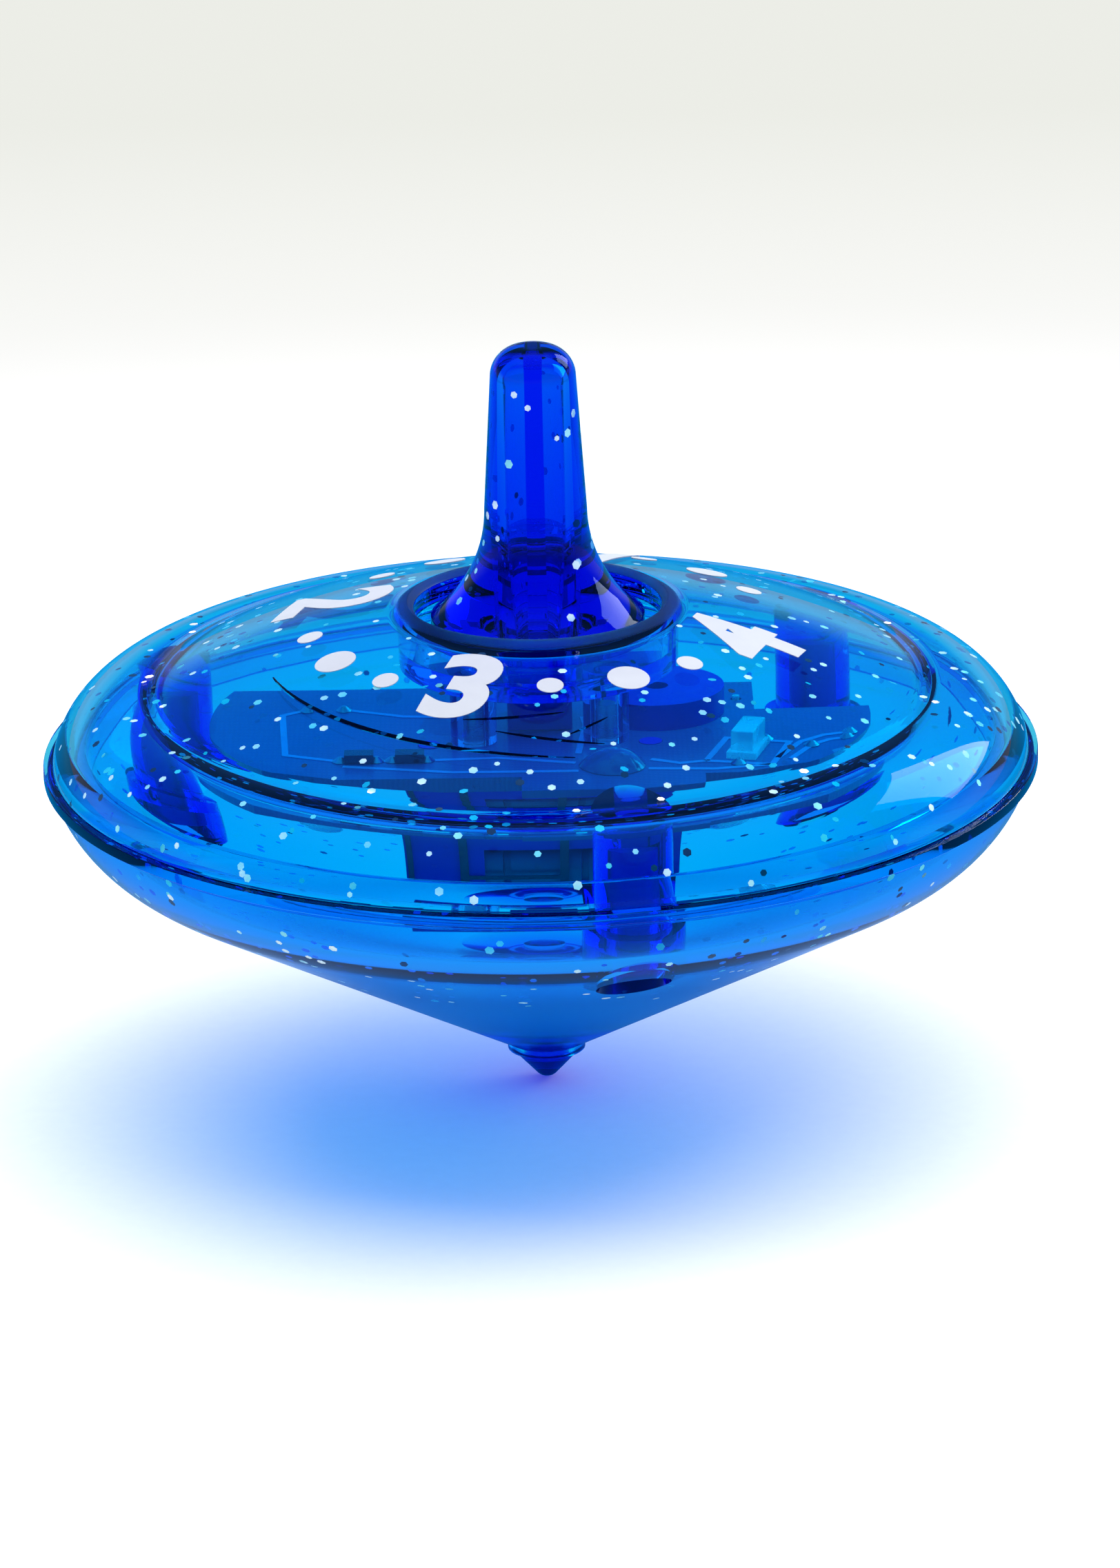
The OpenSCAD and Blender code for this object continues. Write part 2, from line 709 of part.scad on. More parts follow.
// Buzzer can with a sound hole and a ledge for its plate
module buzzer_case() {
    inner_r = buzzer_d / 2 - buzzer_wall;
    color("black") translate([buzzer_at.x, buzzer_at.y, board_top + fit_gap]) difference() {
        cylinder(d = buzzer_d, h = buzzer_h);
        translate([0, 0, -cut]) cylinder(r = inner_r, h = cut + plate_z);
        translate([0, 0, -cut]) cylinder(r = inner_r - buzzer_ledge_w, h = cut + buzzer_h - buzzer_wall);
        cylinder(r = buzzer_hole_r, h = buzzer_h + cut);
    }
}

module buzzer_plate() {
    color("goldenrod") translate([buzzer_at.x, buzzer_at.y, board_top + plate_z - buzzer_plate_t])
        cylinder(r = buzzer_d / 2 - buzzer_wall - fit_gap, h = buzzer_plate_t);
}

// Box for a row of cells lying along X, with a window in front and two pegs that pass through the board
module battery_box() {
    color("midnightblue") {
        difference() {
            translate([-box_x, -box_y, box_z]) cube([2 * box_x, 2 * box_y, box_top - box_z]);
            translate([-box_in_x, -box_in_y, box_floor]) cube([2 * box_in_x, 2 * box_in_y, box_top]);
            translate([-window_w / 2, -box_y - cut, cell_z - window_h / 2])
                cube([window_w, box_wall + 2 * cut, window_h]);
            translate([-box_x - cut, -contact_foot_w / 2 - easy_gap, box_top - contact_t - easy_gap])
                cube([2 * (box_x + cut), contact_foot_w + 2 * easy_gap, contact_t + cut]);
        }
        for (side = [-1, 1]) translate([side * peg_at.x, peg_at.y, 0]) {
            translate([-peg_block / 2, -box_in_y - peg_at.y - box_wall / 2, box_top - peg_block])
                cube([peg_block, box_wall / 2 + peg_block, peg_block]);
            translate([0, 0, box_top - peg_block / 2])
                cylinder(r = peg_r, h = board_top - box_top + peg_block / 2 + fit_gap);
        }
    }
}

// Contact plate at one end of the row, with a foot soldered under the board
module contact(side) {
    plate_x = box_in_x - fit_gap - contact_t;
    top = board_z - fit_gap;
    rotate(side > 0 ? 0 : 180) {
        translate([plate_x, -contact_side / 2, cell_z - contact_side / 2])
            cube([contact_t, contact_side, contact_side]);
        translate([plate_x, -contact_foot_w / 2, cell_z])
            cube([contact_t, contact_foot_w, top - cell_z]);
        translate([plate_x, -contact_foot_w / 2, top - contact_t])
            cube([box_wall + contact_foot_l, contact_foot_w, contact_t]);
    }
}

module front_contact() { color("silver") contact(1); }

module end_contact() { color("silver") contact(-1); }

// Button cell: a can, and a narrower cap at its negative end
module cell(index) {
    can_t = cell_t - cell_step_h;
    cap_r = cell_r - cell_step_w;
    color("lightgray") translate([(index - (CELLS - 1) / 2) * cell_t, 0, cell_z]) rotate([0, 90, 0]) {
        translate([0, 0, fit_gap / 2 - cell_t / 2]) cylinder(r = cap_r, h = cell_t - fit_gap);
        translate([0, 0, cell_t / 2 - can_t]) cylinder(r = cell_r, h = can_t - fit_gap / 2);
    }
}

module cell_1() { cell(0); }

module cell_2() { cell(1); }

module cell_3() { cell(2); }

upper_shell();
lower_shell();
spinning_tip();
stem();
stem_clip();
case_screws();
circuit_board();
board_screws();
chip_cover();
resistors();
switch_body();
switch_cover();
switch_dome();
switch_plunger();
upper_lamp();
left_lamp();
right_lamp();
buzzer_case();
buzzer_plate();
battery_box();
front_contact();
end_contact();
cell_1();
cell_2();
cell_3();
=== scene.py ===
"""Looks of the light-up spinning top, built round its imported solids.

The classes hold their sizes in millimetres, and the meshes are made in metres in the frame of the solids: the
origin is the bottom of the tip, +Z is the spin axis and -Y is the front.
"""

import logging
import math
from collections.abc import Callable, Sequence
from dataclasses import dataclass, field
from enum import Enum
from typing import Any

import bmesh
import bpy
from mathutils import Matrix, Vector


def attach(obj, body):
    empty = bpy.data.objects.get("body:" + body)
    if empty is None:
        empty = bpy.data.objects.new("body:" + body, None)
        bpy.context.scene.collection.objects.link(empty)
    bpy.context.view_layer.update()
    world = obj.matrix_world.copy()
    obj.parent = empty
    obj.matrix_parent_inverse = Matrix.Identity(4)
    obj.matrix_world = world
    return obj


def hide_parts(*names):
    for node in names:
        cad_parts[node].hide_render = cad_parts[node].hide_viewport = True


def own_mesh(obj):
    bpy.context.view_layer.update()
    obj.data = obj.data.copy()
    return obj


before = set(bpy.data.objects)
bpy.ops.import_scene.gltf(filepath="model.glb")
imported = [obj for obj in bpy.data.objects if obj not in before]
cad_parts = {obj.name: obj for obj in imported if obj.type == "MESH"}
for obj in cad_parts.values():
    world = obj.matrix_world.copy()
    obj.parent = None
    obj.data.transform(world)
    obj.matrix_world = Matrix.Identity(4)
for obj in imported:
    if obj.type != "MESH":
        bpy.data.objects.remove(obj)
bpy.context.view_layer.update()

MM = 0.001
SEGMENTS = 192
TINY = 1e-6
log = logging.getLogger("spinning_top")

Colour = tuple[float, float, float]
Point = tuple[float, float]
Triple = tuple[float, float, float]
Height = float | Callable[[float, float], float]
Stops = tuple[tuple[float, Colour], ...]
Piece = bpy.types.Object
Form = bmesh.types.BMesh
Node = bpy.types.Node
Socket = bpy.types.NodeSocket
WHITE: Colour = (1.0, 1.0, 1.0)


class Body(Enum):
    """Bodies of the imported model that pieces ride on."""

    CASE = "case"
    STEM = "push_stem"


class Cut(Enum):
    """What a tool solid does to the solid that it meets."""

    ADD = "UNION"
    TAKE = "DIFFERENCE"


# Shader and geometry nodes


class Term:
    """A socket that takes part in arithmetic on values."""

    def __init__(self, bench: "Bench", socket: Socket) -> None:
        """Keeps the socket and the bench that its nodes are added on."""
        self.bench = bench
        self.socket = socket

    def maths(self, operation: str, first: "Term | float", second: "Term | float") -> "Term":
        """Adds one Math node.

        Args:
            operation: The node's operation.
            first: Its first value.
            second: Its second value.

        Returns:
            The node's result.
        """
        return self.bench.term(self.bench.add("ShaderNodeMath", {"operation": operation}, {0: first, 1: second}))

    def __add__(self, other: "Term | float") -> "Term":
        """Sum."""
        return self.maths("ADD", self, other)

    def __radd__(self, other: "Term | float") -> "Term":
        """Sum with a number first."""
        return self.maths("ADD", other, self)

    def __sub__(self, other: "Term | float") -> "Term":
        """Difference."""
        return self.maths("SUBTRACT", self, other)

    def __mul__(self, other: "Term | float") -> "Term":
        """Product."""
        return self.maths("MULTIPLY", self, other)

    def __rmul__(self, other: "Term | float") -> "Term":
        """Product with a number first."""
        return self.maths("MULTIPLY", other, self)

    def __pow__(self, other: "Term | float") -> "Term":
        """Power."""
        return self.maths("POWER", self, other)

    def most(self, other: "Term | float") -> "Term":
        """Larger of two values."""
        return self.maths("MAXIMUM", self, other)

    def least(self, other: "Term | float") -> "Term":
        """Smaller of two values."""
        return self.maths("MINIMUM", self, other)


class Bench:
    """Adds nodes to one tree and links them."""

    def __init__(self, tree: bpy.types.NodeTree) -> None:
        """Keeps the tree."""
        self.tree = tree

    @staticmethod
    def pick(sockets: Any, key: int | str) -> Socket:
        """Finds a socket by its place, or by its name among those in use."""
        return sockets[key] if isinstance(key, int) else next(s for s in sockets if s.name == key and s.enabled)

    def add(self, kind: str, settings: dict[str, Any] | None = None,
            inputs: dict[int | str, Any] | None = None) -> Node:
        """Adds a node, sets it up and fills its sockets.

        Args:
            kind: The node's type.
            settings: Its own settings; "stops" holds a colour ramp's places and colours.
            inputs: Numbers, colours, data, terms or sockets by the socket's name or place.

        Returns:
            The node.
        """
        node = self.tree.nodes.new(kind)
        for key, value in (settings or {}).items():
            if key == "stops":
                ends = node.color_ramp.elements
                ends[0].position, ends[1].position = value[0][0], value[-1][0]
                for place, _ in value[1:-1]:
                    ends.new(place)
                for stop, (_, colour) in zip(ends, value):
                    stop.color = (*colour, 1.0)
            else:
                setattr(node, key, value)
        for key, value in (inputs or {}).items():
            socket = self.pick(node.inputs, key)
            value = value.socket if isinstance(value, Term) else value
            if isinstance(value, Socket):
                self.tree.links.new(value, socket)
            elif socket.type == "RGBA" and len(value) == 3:
                socket.default_value = (*value, 1.0)
            else:
                socket.default_value = value
        return node

    def term(self, node: Node, key: int | str = 0) -> Term:
        """Wraps one of a node's results."""
        return Term(self, self.pick(node.outputs, key))

    def noise(self, scale: float, detail: float = 2.0, stretch: Triple = (1.0, 1.0, 1.0)) -> Term:
        """Adds a noise on Object coordinates.

        Args:
            scale: Lumps to the metre.
            detail: Octaves.
            stretch: Scale of the coordinates along each axis.

        Returns:
            The noise from 0 to 1.
        """
        place = self.add("ShaderNodeTexCoord").outputs["Object"]
        turned = self.add("ShaderNodeMapping", {}, {"Vector": place, "Scale": stretch})
        made = self.add("ShaderNodeTexNoise", {}, {"Vector": turned.outputs[0], "Scale": scale, "Detail": detail})
        return self.term(made, "Fac")

    def mix(self, factor: "Term | float", first: Any, second: Any) -> Socket:
        """Mixes two colours.

        Args:
            factor: Share of the second colour.
            first: A colour or a socket.
            second: A colour or a socket.

        Returns:
            The mixed colour's socket.
        """
        node = self.add("ShaderNodeMix", {"data_type": "RGBA"}, {"Factor": factor, "A": first, "B": second})
        return self.pick(node.outputs, "Result")

    def mirror(self, path: Node) -> Term:
        """Tells mirror rays from the rays that rough clear plastic lets through, which count as glossy too."""
        return self.term(path, "Is Glossy Ray") - self.term(path, "Is Transmission Ray")

    def lamplit(self, skin: Node, colour: Colour) -> Socket:
        """Lets the light of lamps pass a clear skin, tinted by a colour."""
        through = self.add("ShaderNodeBsdfTransparent", {}, {"Color": colour})
        lamp = self.add("ShaderNodeLightPath").outputs["Is Shadow Ray"]
        return self.add("ShaderNodeMixShader", {}, {0: lamp, 1: skin.outputs[0], 2: through.outputs[0]}).outputs[0]

    def bump(self, height: Term, depth: float, strength: float = 1.0) -> Socket:
        """Adds a bump of a depth in metres."""
        node = self.add("ShaderNodeBump", {}, {"Strength": strength, "Distance": depth, "Height": height})
        return node.outputs[0]


# Finishes


@dataclass(frozen=True)
class Finish:
    """One material of the top."""

    name: str

    def paint(self, bench: Bench) -> dict[str, Socket]:
        """Adds the shader's nodes and returns the sockets for the output by its input's name."""
        raise NotImplementedError

    def material(self) -> bpy.types.Material:
        """Makes the material, once for each finish."""
        made = bpy.data.materials.get(self.name)
        if made is None:
            made = bpy.data.materials.new(self.name)
            made.use_nodes = True
            made.node_tree.nodes.clear()
            bench = Bench(made.node_tree)
            bench.add("ShaderNodeOutputMaterial", {}, self.paint(bench))
        return made


@dataclass(frozen=True)
class ClearPlastic(Finish):
    """Clear moulded plastic that is coloured all through."""

    tint: Colour = (0.0, 0.9, 0.993)
    density: float = 2600.0
    ior: float = 1.5
    haze: float = 0.01
    # gleam tints the skin's reflections blue: a painted reflection colour.
    gleam: Colour = (0.15, 0.4, 1.0)
    frost: float = 0.0
    frost_z: Point = (0.013, 0.017)
    flow_scale: float = 70.0
    flow_stretch: Triple = (1.0, 1.0, 2.5)
    flow_depth: float = 0.0001
    scuff_scale: float = 1500.0
    scuff_haze: float = 0.02
    clean: Colour = (0.93, 0.97, 1.0)
    scuffed: Colour = (0.86, 0.94, 1.0)

    def paint(self, bench: Bench) -> dict[str, Socket]:
        """Polished skin with faint flow marks over an absorbing body that lets lamps through."""
        flow = bench.noise(self.flow_scale, 3.0, self.flow_stretch)
        scuff = bench.noise(self.scuff_scale, 4.0)
        place = bench.add("ShaderNodeTexCoord").outputs["Object"]
        height = bench.add("ShaderNodeSeparateXYZ", {}, {0: place}).outputs["Z"]
        low = bench.term(bench.add("ShaderNodeMapRange", {"interpolation_type": "SMOOTHSTEP"}, {
            "Value": height, "From Min": self.frost_z[1], "From Max": self.frost_z[0]}))
        skin = bench.add("ShaderNodeBsdfPrincipled", {}, {
            "Base Color": bench.mix(scuff * 0.3, self.clean, self.scuffed),
            "Roughness": self.haze + self.scuff_haze * (flow * scuff) + self.frost * low,
            "IOR": self.ior,
            "Transmission Weight": 1.0,
            # Painted reflection: the Specular Tint colours every reflection of the skin blue.
            "Specular Tint": self.gleam,
            "Normal": bench.bump(flow, self.flow_depth, 0.06),
        })
        inside = bench.add("ShaderNodeVolumeAbsorption", {}, {"Color": self.tint, "Density": self.density})
        return {"Surface": bench.lamplit(skin, WHITE), "Volume": inside.outputs[0]}


@dataclass(frozen=True)
class Lens(Finish):
    """Clear resin of a lamp."""

    colour: Colour = (0.86, 0.93, 1.0)
    milk: Colour = (0.95, 0.97, 1.0)
    cloud_scale: float = 900.0
    rough: Point = (0.16, 0.2)
    ior: float = 1.52
    clearness: float = 0.55

    def paint(self, bench: Bench) -> dict[str, Socket]:
        """Slightly milky resin that lets lamps through."""
        cloud = bench.noise(self.cloud_scale, 3.0)
        skin = bench.add("ShaderNodeBsdfPrincipled", {}, {
            "Base Color": bench.mix(cloud, self.colour, self.milk),
            "Roughness": self.rough[0] + self.rough[1] * cloud,
            "IOR": self.ior,
            "Transmission Weight": self.clearness,
        })
        return {"Surface": bench.lamplit(skin, self.colour)}


@dataclass(frozen=True)
class Solid(Finish):
    """Solid plastic, resin or print with a grain."""

    colour: Colour
    worn: Colour
    rough: float = 0.4
    spread: float = 0.15
    grain: float = 2500.0
    relief: float = 0.00002
    coat: float = 0.0

    def paint(self, bench: Bench) -> dict[str, Socket]:
        """Mottled colour, uneven gloss and a fine grain."""
        mottle = bench.noise(self.grain / 8, 4.0)
        grain = bench.noise(self.grain, 3.0)
        skin = bench.add("ShaderNodeBsdfPrincipled", {}, {
            "Base Color": bench.mix(mottle, self.colour, self.worn),
            "Roughness": self.rough + self.spread * (grain - 0.5),
            "Coat Weight": self.coat,
            "Coat Roughness": 0.1,
            "Normal": bench.bump(grain, self.relief, 0.6),
        })
        return {"Surface": skin.outputs[0]}


@dataclass(frozen=True)
class Plated(Finish):
    """Plated or bare metal."""

    colour: Colour
    dull: Colour
    rough: float = 0.25
    brush: Triple = (1.0, 1.0, 12.0)
    line_scale: float = 700.0
    line_depth: float = 0.00001
    line_rough: float = 0.2
    patch_scale: float = 350.0

    def paint(self, bench: Bench) -> dict[str, Socket]:
        """Brushed metal with dull patches."""
        lines = bench.noise(self.line_scale, 4.0, self.brush)
        patch = bench.noise(self.patch_scale, 3.0)
        skin = bench.add("ShaderNodeBsdfPrincipled", {}, {
            "Base Color": bench.mix(patch, self.colour, self.dull),
            "Metallic": 1.0,
            "Roughness": self.rough + self.line_rough * (lines - 0.4),
            "Normal": bench.bump(lines, self.line_depth, 0.4),
        })
        return {"Surface": skin.outputs[0]}


@dataclass(frozen=True)
class Flake(Finish):
    """Cut foil of the glitter, each piece with a tone of its own."""

    attribute: str = "tone"
    tones: Stops = (
        (0.0, (0.01, 0.03, 0.08)), (0.14, (0.02, 0.06, 0.12)), (0.18, (0.35, 0.9, 0.9)),
        (0.38, (0.6, 0.95, 0.95)), (0.46, WHITE), (1.0, WHITE))
    # Strength of the foil's glow in its own tone: a painted glint, as the flakes are no lamps.
    glow: float = 0.22
    metal: float = 0.3
    rough: Point = (0.25, 0.25)
    crease_scale: float = 3000.0

    def paint(self, bench: Bench) -> dict[str, Socket]:
        """Bright foil in silver, pale cyan and a few dark pieces, glowing a little in its own tone as a painted glint.
        """
        tone = bench.term(bench.add("ShaderNodeAttribute", {"attribute_name": self.attribute}), "Fac")
        ramp = bench.add("ShaderNodeValToRGB", {"stops": self.tones}, {"Fac": tone})
        crease = bench.noise(self.crease_scale, 2.0)
        skin = bench.add("ShaderNodeBsdfPrincipled", {}, {
            "Base Color": ramp.outputs[0],
            "Metallic": self.metal,
            "Roughness": self.rough[0] + self.rough[1] * crease,
            # Painted glint: each flake glows a little in its own tone.
            "Emission Color": ramp.outputs[0],
            "Emission Strength": self.glow,
        })
        return {"Surface": skin.outputs[0]}


@dataclass(frozen=True)
class BoardMask(Finish):
    """Satin mask over a woven glass board."""

    colour: Colour = (0.015, 0.055, 0.2)
    light: Colour = (0.03, 0.1, 0.32)
    weave_scale: float = 900.0
    weave_depth: float = 0.00002
    cloud_scale: float = 260.0
    rough: Point = (0.3, 0.15)
    coat: Point = (0.4, 0.15)

    def paint(self, bench: Bench) -> dict[str, Socket]:
        """Mask with the weave of the glass cloth showing in its relief."""
        place = bench.add("ShaderNodeTexCoord").outputs["Object"]
        warp, weft = (bench.term(bench.add("ShaderNodeTexWave", {"bands_direction": axis}, {
            "Vector": place, "Scale": self.weave_scale, "Distortion": 0.6}), "Fac") for axis in "XY")
        weave = warp * weft
        cloud = bench.noise(self.cloud_scale, 3.0)
        skin = bench.add("ShaderNodeBsdfPrincipled", {}, {
            "Base Color": bench.mix(cloud * 0.6 + weave * 0.25, self.colour, self.light),
            "Roughness": self.rough[0] + self.rough[1] * cloud,
            "Coat Weight": self.coat[0],
            "Coat Roughness": self.coat[1],
            "Normal": bench.bump(weave, self.weave_depth, 0.5),
        })
        return {"Surface": skin.outputs[0]}


class Finishes:
    """Every finish of the top."""

    DOME = ClearPlastic("clear_blue_plastic", tint=(0.0, 0.945, 0.999), frost=0.65, frost_z=(0.03535, 0.0351))
    DISH = ClearPlastic("clear_blue_dish", tint=(0.0, 0.885, 0.9995), frost=0.14)
    STEM = ClearPlastic("clear_blue_stem", tint=(0.0, 0.68, 0.99))
    DEEP = ClearPlastic("deep_blue_boss", tint=(0.0, 0.45, 0.995))
    TIP = ClearPlastic("deep_blue_tip", tint=(0.0, 0.5, 0.96), density=3000.0, haze=0.04)
    INK = Solid("white_print", (0.48, 0.51, 0.58), (0.55, 0.58, 0.64), 0.5, 0.2, 5000.0, 0.000008)
    FLAKE = Flake("glitter_foil")
    MASK = BoardMask("board_mask")
    COPPER = Solid("masked_copper", (0.1, 0.25, 0.55), (0.16, 0.34, 0.66), 0.32, 0.1, 3000.0, 0.000004, 0.4)
    SOLDER = Plated("solder", (0.72, 0.74, 0.77), (0.5, 0.52, 0.56), 0.3, (1.0, 1.0, 1.0))
    RESIN = Solid("black_resin", (0.006, 0.007, 0.012), (0.016, 0.018, 0.03), 0.16, 0.1, 900.0, 0.00003, 0.6)
    # The sealing drop's resin is lifted to blue: partly its own dark tone, partly a painted sheen of the blue light
    # round it.
    DROP = Solid("sealing_drop", (0.02, 0.07, 0.24), (0.04, 0.13, 0.36), 0.14, 0.1, 900.0, 0.00004, 0.8)
    # The dark moulding is given a strong blue: painted light that stands in for the blue light inside the case.
    MOULDING = Solid("dark_moulding", (0.005, 0.008, 0.42), (0.008, 0.014, 0.55), 0.42, 0.2, 6000.0, 0.00001)
    LENS = Lens("lamp_resin")
    STEEL = Plated("plated_steel", (0.62, 0.63, 0.66), (0.5, 0.51, 0.54), 0.28)
    BRASS = Plated("spring_brass", (0.78, 0.6, 0.28), (0.62, 0.46, 0.2), 0.3)
    SCREW = Plated("screw_steel", (0.1, 0.09, 0.6), (0.07, 0.07, 0.45), 0.4)
    NICKEL = Plated("cell_nickel", (0.14, 0.15, 0.24), (0.09, 0.1, 0.18), 0.4, (12.0, 1.0, 1.0))


# Mesh building


def arc(centre: Point, radius: float, start: float, end: float, steps: int) -> list[Point]:
    """Samples an arc of a half section.

    Args:
        centre: Radius and height of the arc's centre.
        radius: Radius of the arc.
        start: First angle above level, in degrees.
        end: Last angle, in degrees.
        steps: Number of spans.

    Returns:
        The points, with both ends.
    """
    turns = (math.radians(start + (end - start) * i / steps) for i in range(steps + 1))
    return [(centre[0] + radius * math.cos(t), centre[1] + radius * math.sin(t)) for t in turns]


def span(first: Point, last: Point, steps: int) -> list[Point]:
    """Samples a straight line of a half section, with both ends."""
    return [(first[0] + (last[0] - first[0]) * i / steps, first[1] + (last[1] - first[1]) * i / steps)
            for i in range(steps + 1)]


def soften(section: Sequence[Point], radius: float, least: float = 25.0) -> list[Point]:
    """Rounds the sharp corners of a closed half section.

    Args:
        section: The corners in order.
        radius: Radius of the rounding.
        least: Smallest turn that counts as a corner, in degrees.

    Returns:
        The section with its corners rounded.
    """
    result: list[Point] = []
    count = len(section)
    for i, corner in enumerate(section):
        here = Vector(corner)
        back, ahead = here - Vector(section[i - 1]), Vector(section[(i + 1) % count]) - here
        turn = back.angle(ahead, 0.0)
        if corner[0] < TINY or math.degrees(turn) < least:
            result.append(corner)
            continue
        reach = min(radius * math.tan(turn / 2), 0.4 * back.length, 0.4 * ahead.length)
        first, last = here - back.normalized() * reach, here + ahead.normalized() * reach
        for t in (0.0, 1 / 3, 2 / 3, 1.0):
            point = first * (1 - t) ** 2 + here * 2 * t * (1 - t) + last * t ** 2
            result.append((point.x, point.y))
    return result


def swing(radius: float, turn: float) -> Point:
    """Finds the place at a radius, turned to the right of the front by radians."""
    return radius * math.sin(turn), -radius * math.cos(turn)


def lathe(section: Sequence[Point], closed: bool = True, segments: int = SEGMENTS) -> Form:
    """Turns a half section round the spin axis.

    Args:
        section: Radii and heights in mm, in order.
        closed: Whether the last point joins the first.
        segments: Number of steps round the axis.

    Returns:
        The turned form.
    """
    form = bmesh.new()
    rings = []
    for radius, height in section:
        if radius < TINY:
            rings.append([form.verts.new((0.0, 0.0, height * MM))] * segments)
        else:
            places = (swing(radius, math.tau * i / segments) for i in range(segments))
            rings.append([form.verts.new((x * MM, y * MM, height * MM)) for x, y in places])
    pairs = list(zip(rings, rings[1:] + rings[:1])) if closed else list(zip(rings, rings[1:]))
    for low, high in pairs:
        if low[0] is low[1] and high[0] is high[1]:
            continue
        for i in range(segments):
            j = (i + 1) % segments
            corners = list(dict.fromkeys((low[i], low[j], high[j], high[i])))
            form.faces.new(corners)
    return form


def rod(at: Point, radius: float, low: Height, high: Height, sides: int = 64) -> Form:
    """Makes an upright rod whose ends can follow a surface.

    Args:
        at: Place of its axis in mm.
        radius: Its radius in mm.
        low: Height of its lower end, or a function of the place.
        high: Height of its upper end, or a function of the place.
        sides: Number of sides.

    Returns:
        The closed form.
    """
    form = bmesh.new()
    ends = []
    for end in (low, high):
        level = end if callable(end) else (lambda x, y, z=end: z)
        ring = []
        for i in range(sides):
            x = at[0] + radius * math.cos(math.tau * i / sides)
            y = at[1] + radius * math.sin(math.tau * i / sides)
            ring.append(form.verts.new((x * MM, y * MM, level(x, y) * MM)))
        ends.append((ring, form.verts.new((at[0] * MM, at[1] * MM, level(*at) * MM))))
    for i in range(sides):
        j = (i + 1) % sides
        form.faces.new((ends[0][0][i], ends[0][0][j], ends[1][0][j], ends[1][0][i]))
        for ring, middle in ends:
            form.faces.new((ring[i], ring[j], middle))
    return form


def prism(outline: Sequence[Point], low: float, high: float) -> Form:
    """Makes an upright prism from an outline in mm."""
    return loft([[(x, y, z) for x, y in outline] for z in (low, high)])


def loft(rings: Sequence[Sequence[Sequence[float]]]) -> Form:
    """Joins rings of points in mm into a closed form."""
    form = bmesh.new()
    loops = [[form.verts.new([c * MM for c in p]) for p in ring] for ring in rings]
    for low, high in zip(loops, loops[1:]):
        for i in range(len(low)):
            j = (i + 1) % len(low)
            form.faces.new((low[i], low[j], high[j], high[i]))
    form.faces.new(loops[0])
    form.faces.new(loops[-1])
    return form


def block(low: Sequence[float], high: Sequence[float]) -> Form:
    """Makes a block between two corners in mm."""
    return prism([(low[0], low[1]), (high[0], low[1]), (high[0], high[1]), (low[0], high[1])], low[2], high[2])


def face_out(form: Form, height: float | None = None) -> Form:
    """Turns the faces of an open form away from a height in mm on the spin axis, or from the axis itself."""
    for face in form.faces:
        face.normal_update()
        middle = face.calc_center_median()
        away = Vector((*middle.xy, 0.0)) if height is None else middle - Vector((0.0, 0.0, height * MM))
        if face.normal.dot(away) < 0:
            face.normal_flip()
    return form


def gather(forms: Sequence[Form]) -> Form:
    """Puts several forms into one and frees them."""
    whole = bmesh.new()
    for form in forms:
        bmesh.ops.recalc_face_normals(form, faces=form.faces[:])
        mesh = bpy.data.meshes.new("part")
        form.to_mesh(mesh)
        form.free()
        whole.from_mesh(mesh)
        bpy.data.meshes.remove(mesh)
    return whole


def settle(name: str, form: Form, outward: bool = True) -> Piece:
    """Turns a form into an object at the origin.

    Args:
        name: Name of the piece.
        form: The form, which is freed.
        outward: Whether its faces are turned outwards first.

    Returns:
        The object, linked to the scene.
    """
    if outward:
        bmesh.ops.recalc_face_normals(form, faces=form.faces[:])
    mesh = bpy.data.meshes.new(name)
    form.to_mesh(mesh)
    form.free()
    piece = bpy.data.objects.new(name, mesh)
    bpy.context.scene.collection.objects.link(piece)
    return piece


def bake(piece: Piece) -> None:
    """Replaces a piece's mesh by its evaluated one and removes the modifiers."""
    bpy.context.view_layer.update()
    graph = bpy.context.evaluated_depsgraph_get()
    mesh = bpy.data.meshes.new_from_object(piece.evaluated_get(graph))
    piece.modifiers.clear()
    piece.data = mesh


def carve(piece: Piece, tools: Sequence[Form], cut: Cut) -> None:
    """Adds tool solids to a piece or takes them from it.

    Args:
        piece: The piece that is changed.
        tools: Closed forms that don't meet each other.
        cut: What they do.
    """
    tool = settle("tool", gather(tools))
    step = piece.modifiers.new("carve", "BOOLEAN")
    step.operation, step.solver, step.object = cut.value, "EXACT", tool
    bake(piece)
    bpy.data.objects.remove(tool)


def shade(piece: Piece, finish: Finish, angle: float = 32.0) -> Piece:
    """Smooths a piece up to an edge angle in degrees and gives it its finish."""
    piece.data.shade_smooth()
    piece.data.set_sharp_from_angle(angle=math.radians(angle))
    piece.data.materials.clear()
    piece.data.materials.append(finish.material())
    return piece


def seat(piece: Piece, body: Body, nodes: Sequence[str] = ()) -> Piece:
    """Lets a piece ride on its body and stand for its nodes.

    Args:
        piece: The piece.
        body: The body that it moves with.
        nodes: The nodes that it replaces.

    Returns:
        The piece.
    """
    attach(piece, body.value)
    if nodes:
        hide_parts(*nodes)
    log.info("%s: %d faces on %s", piece.name, len(piece.data.polygons), body.value)
    return piece


# Geometry trees


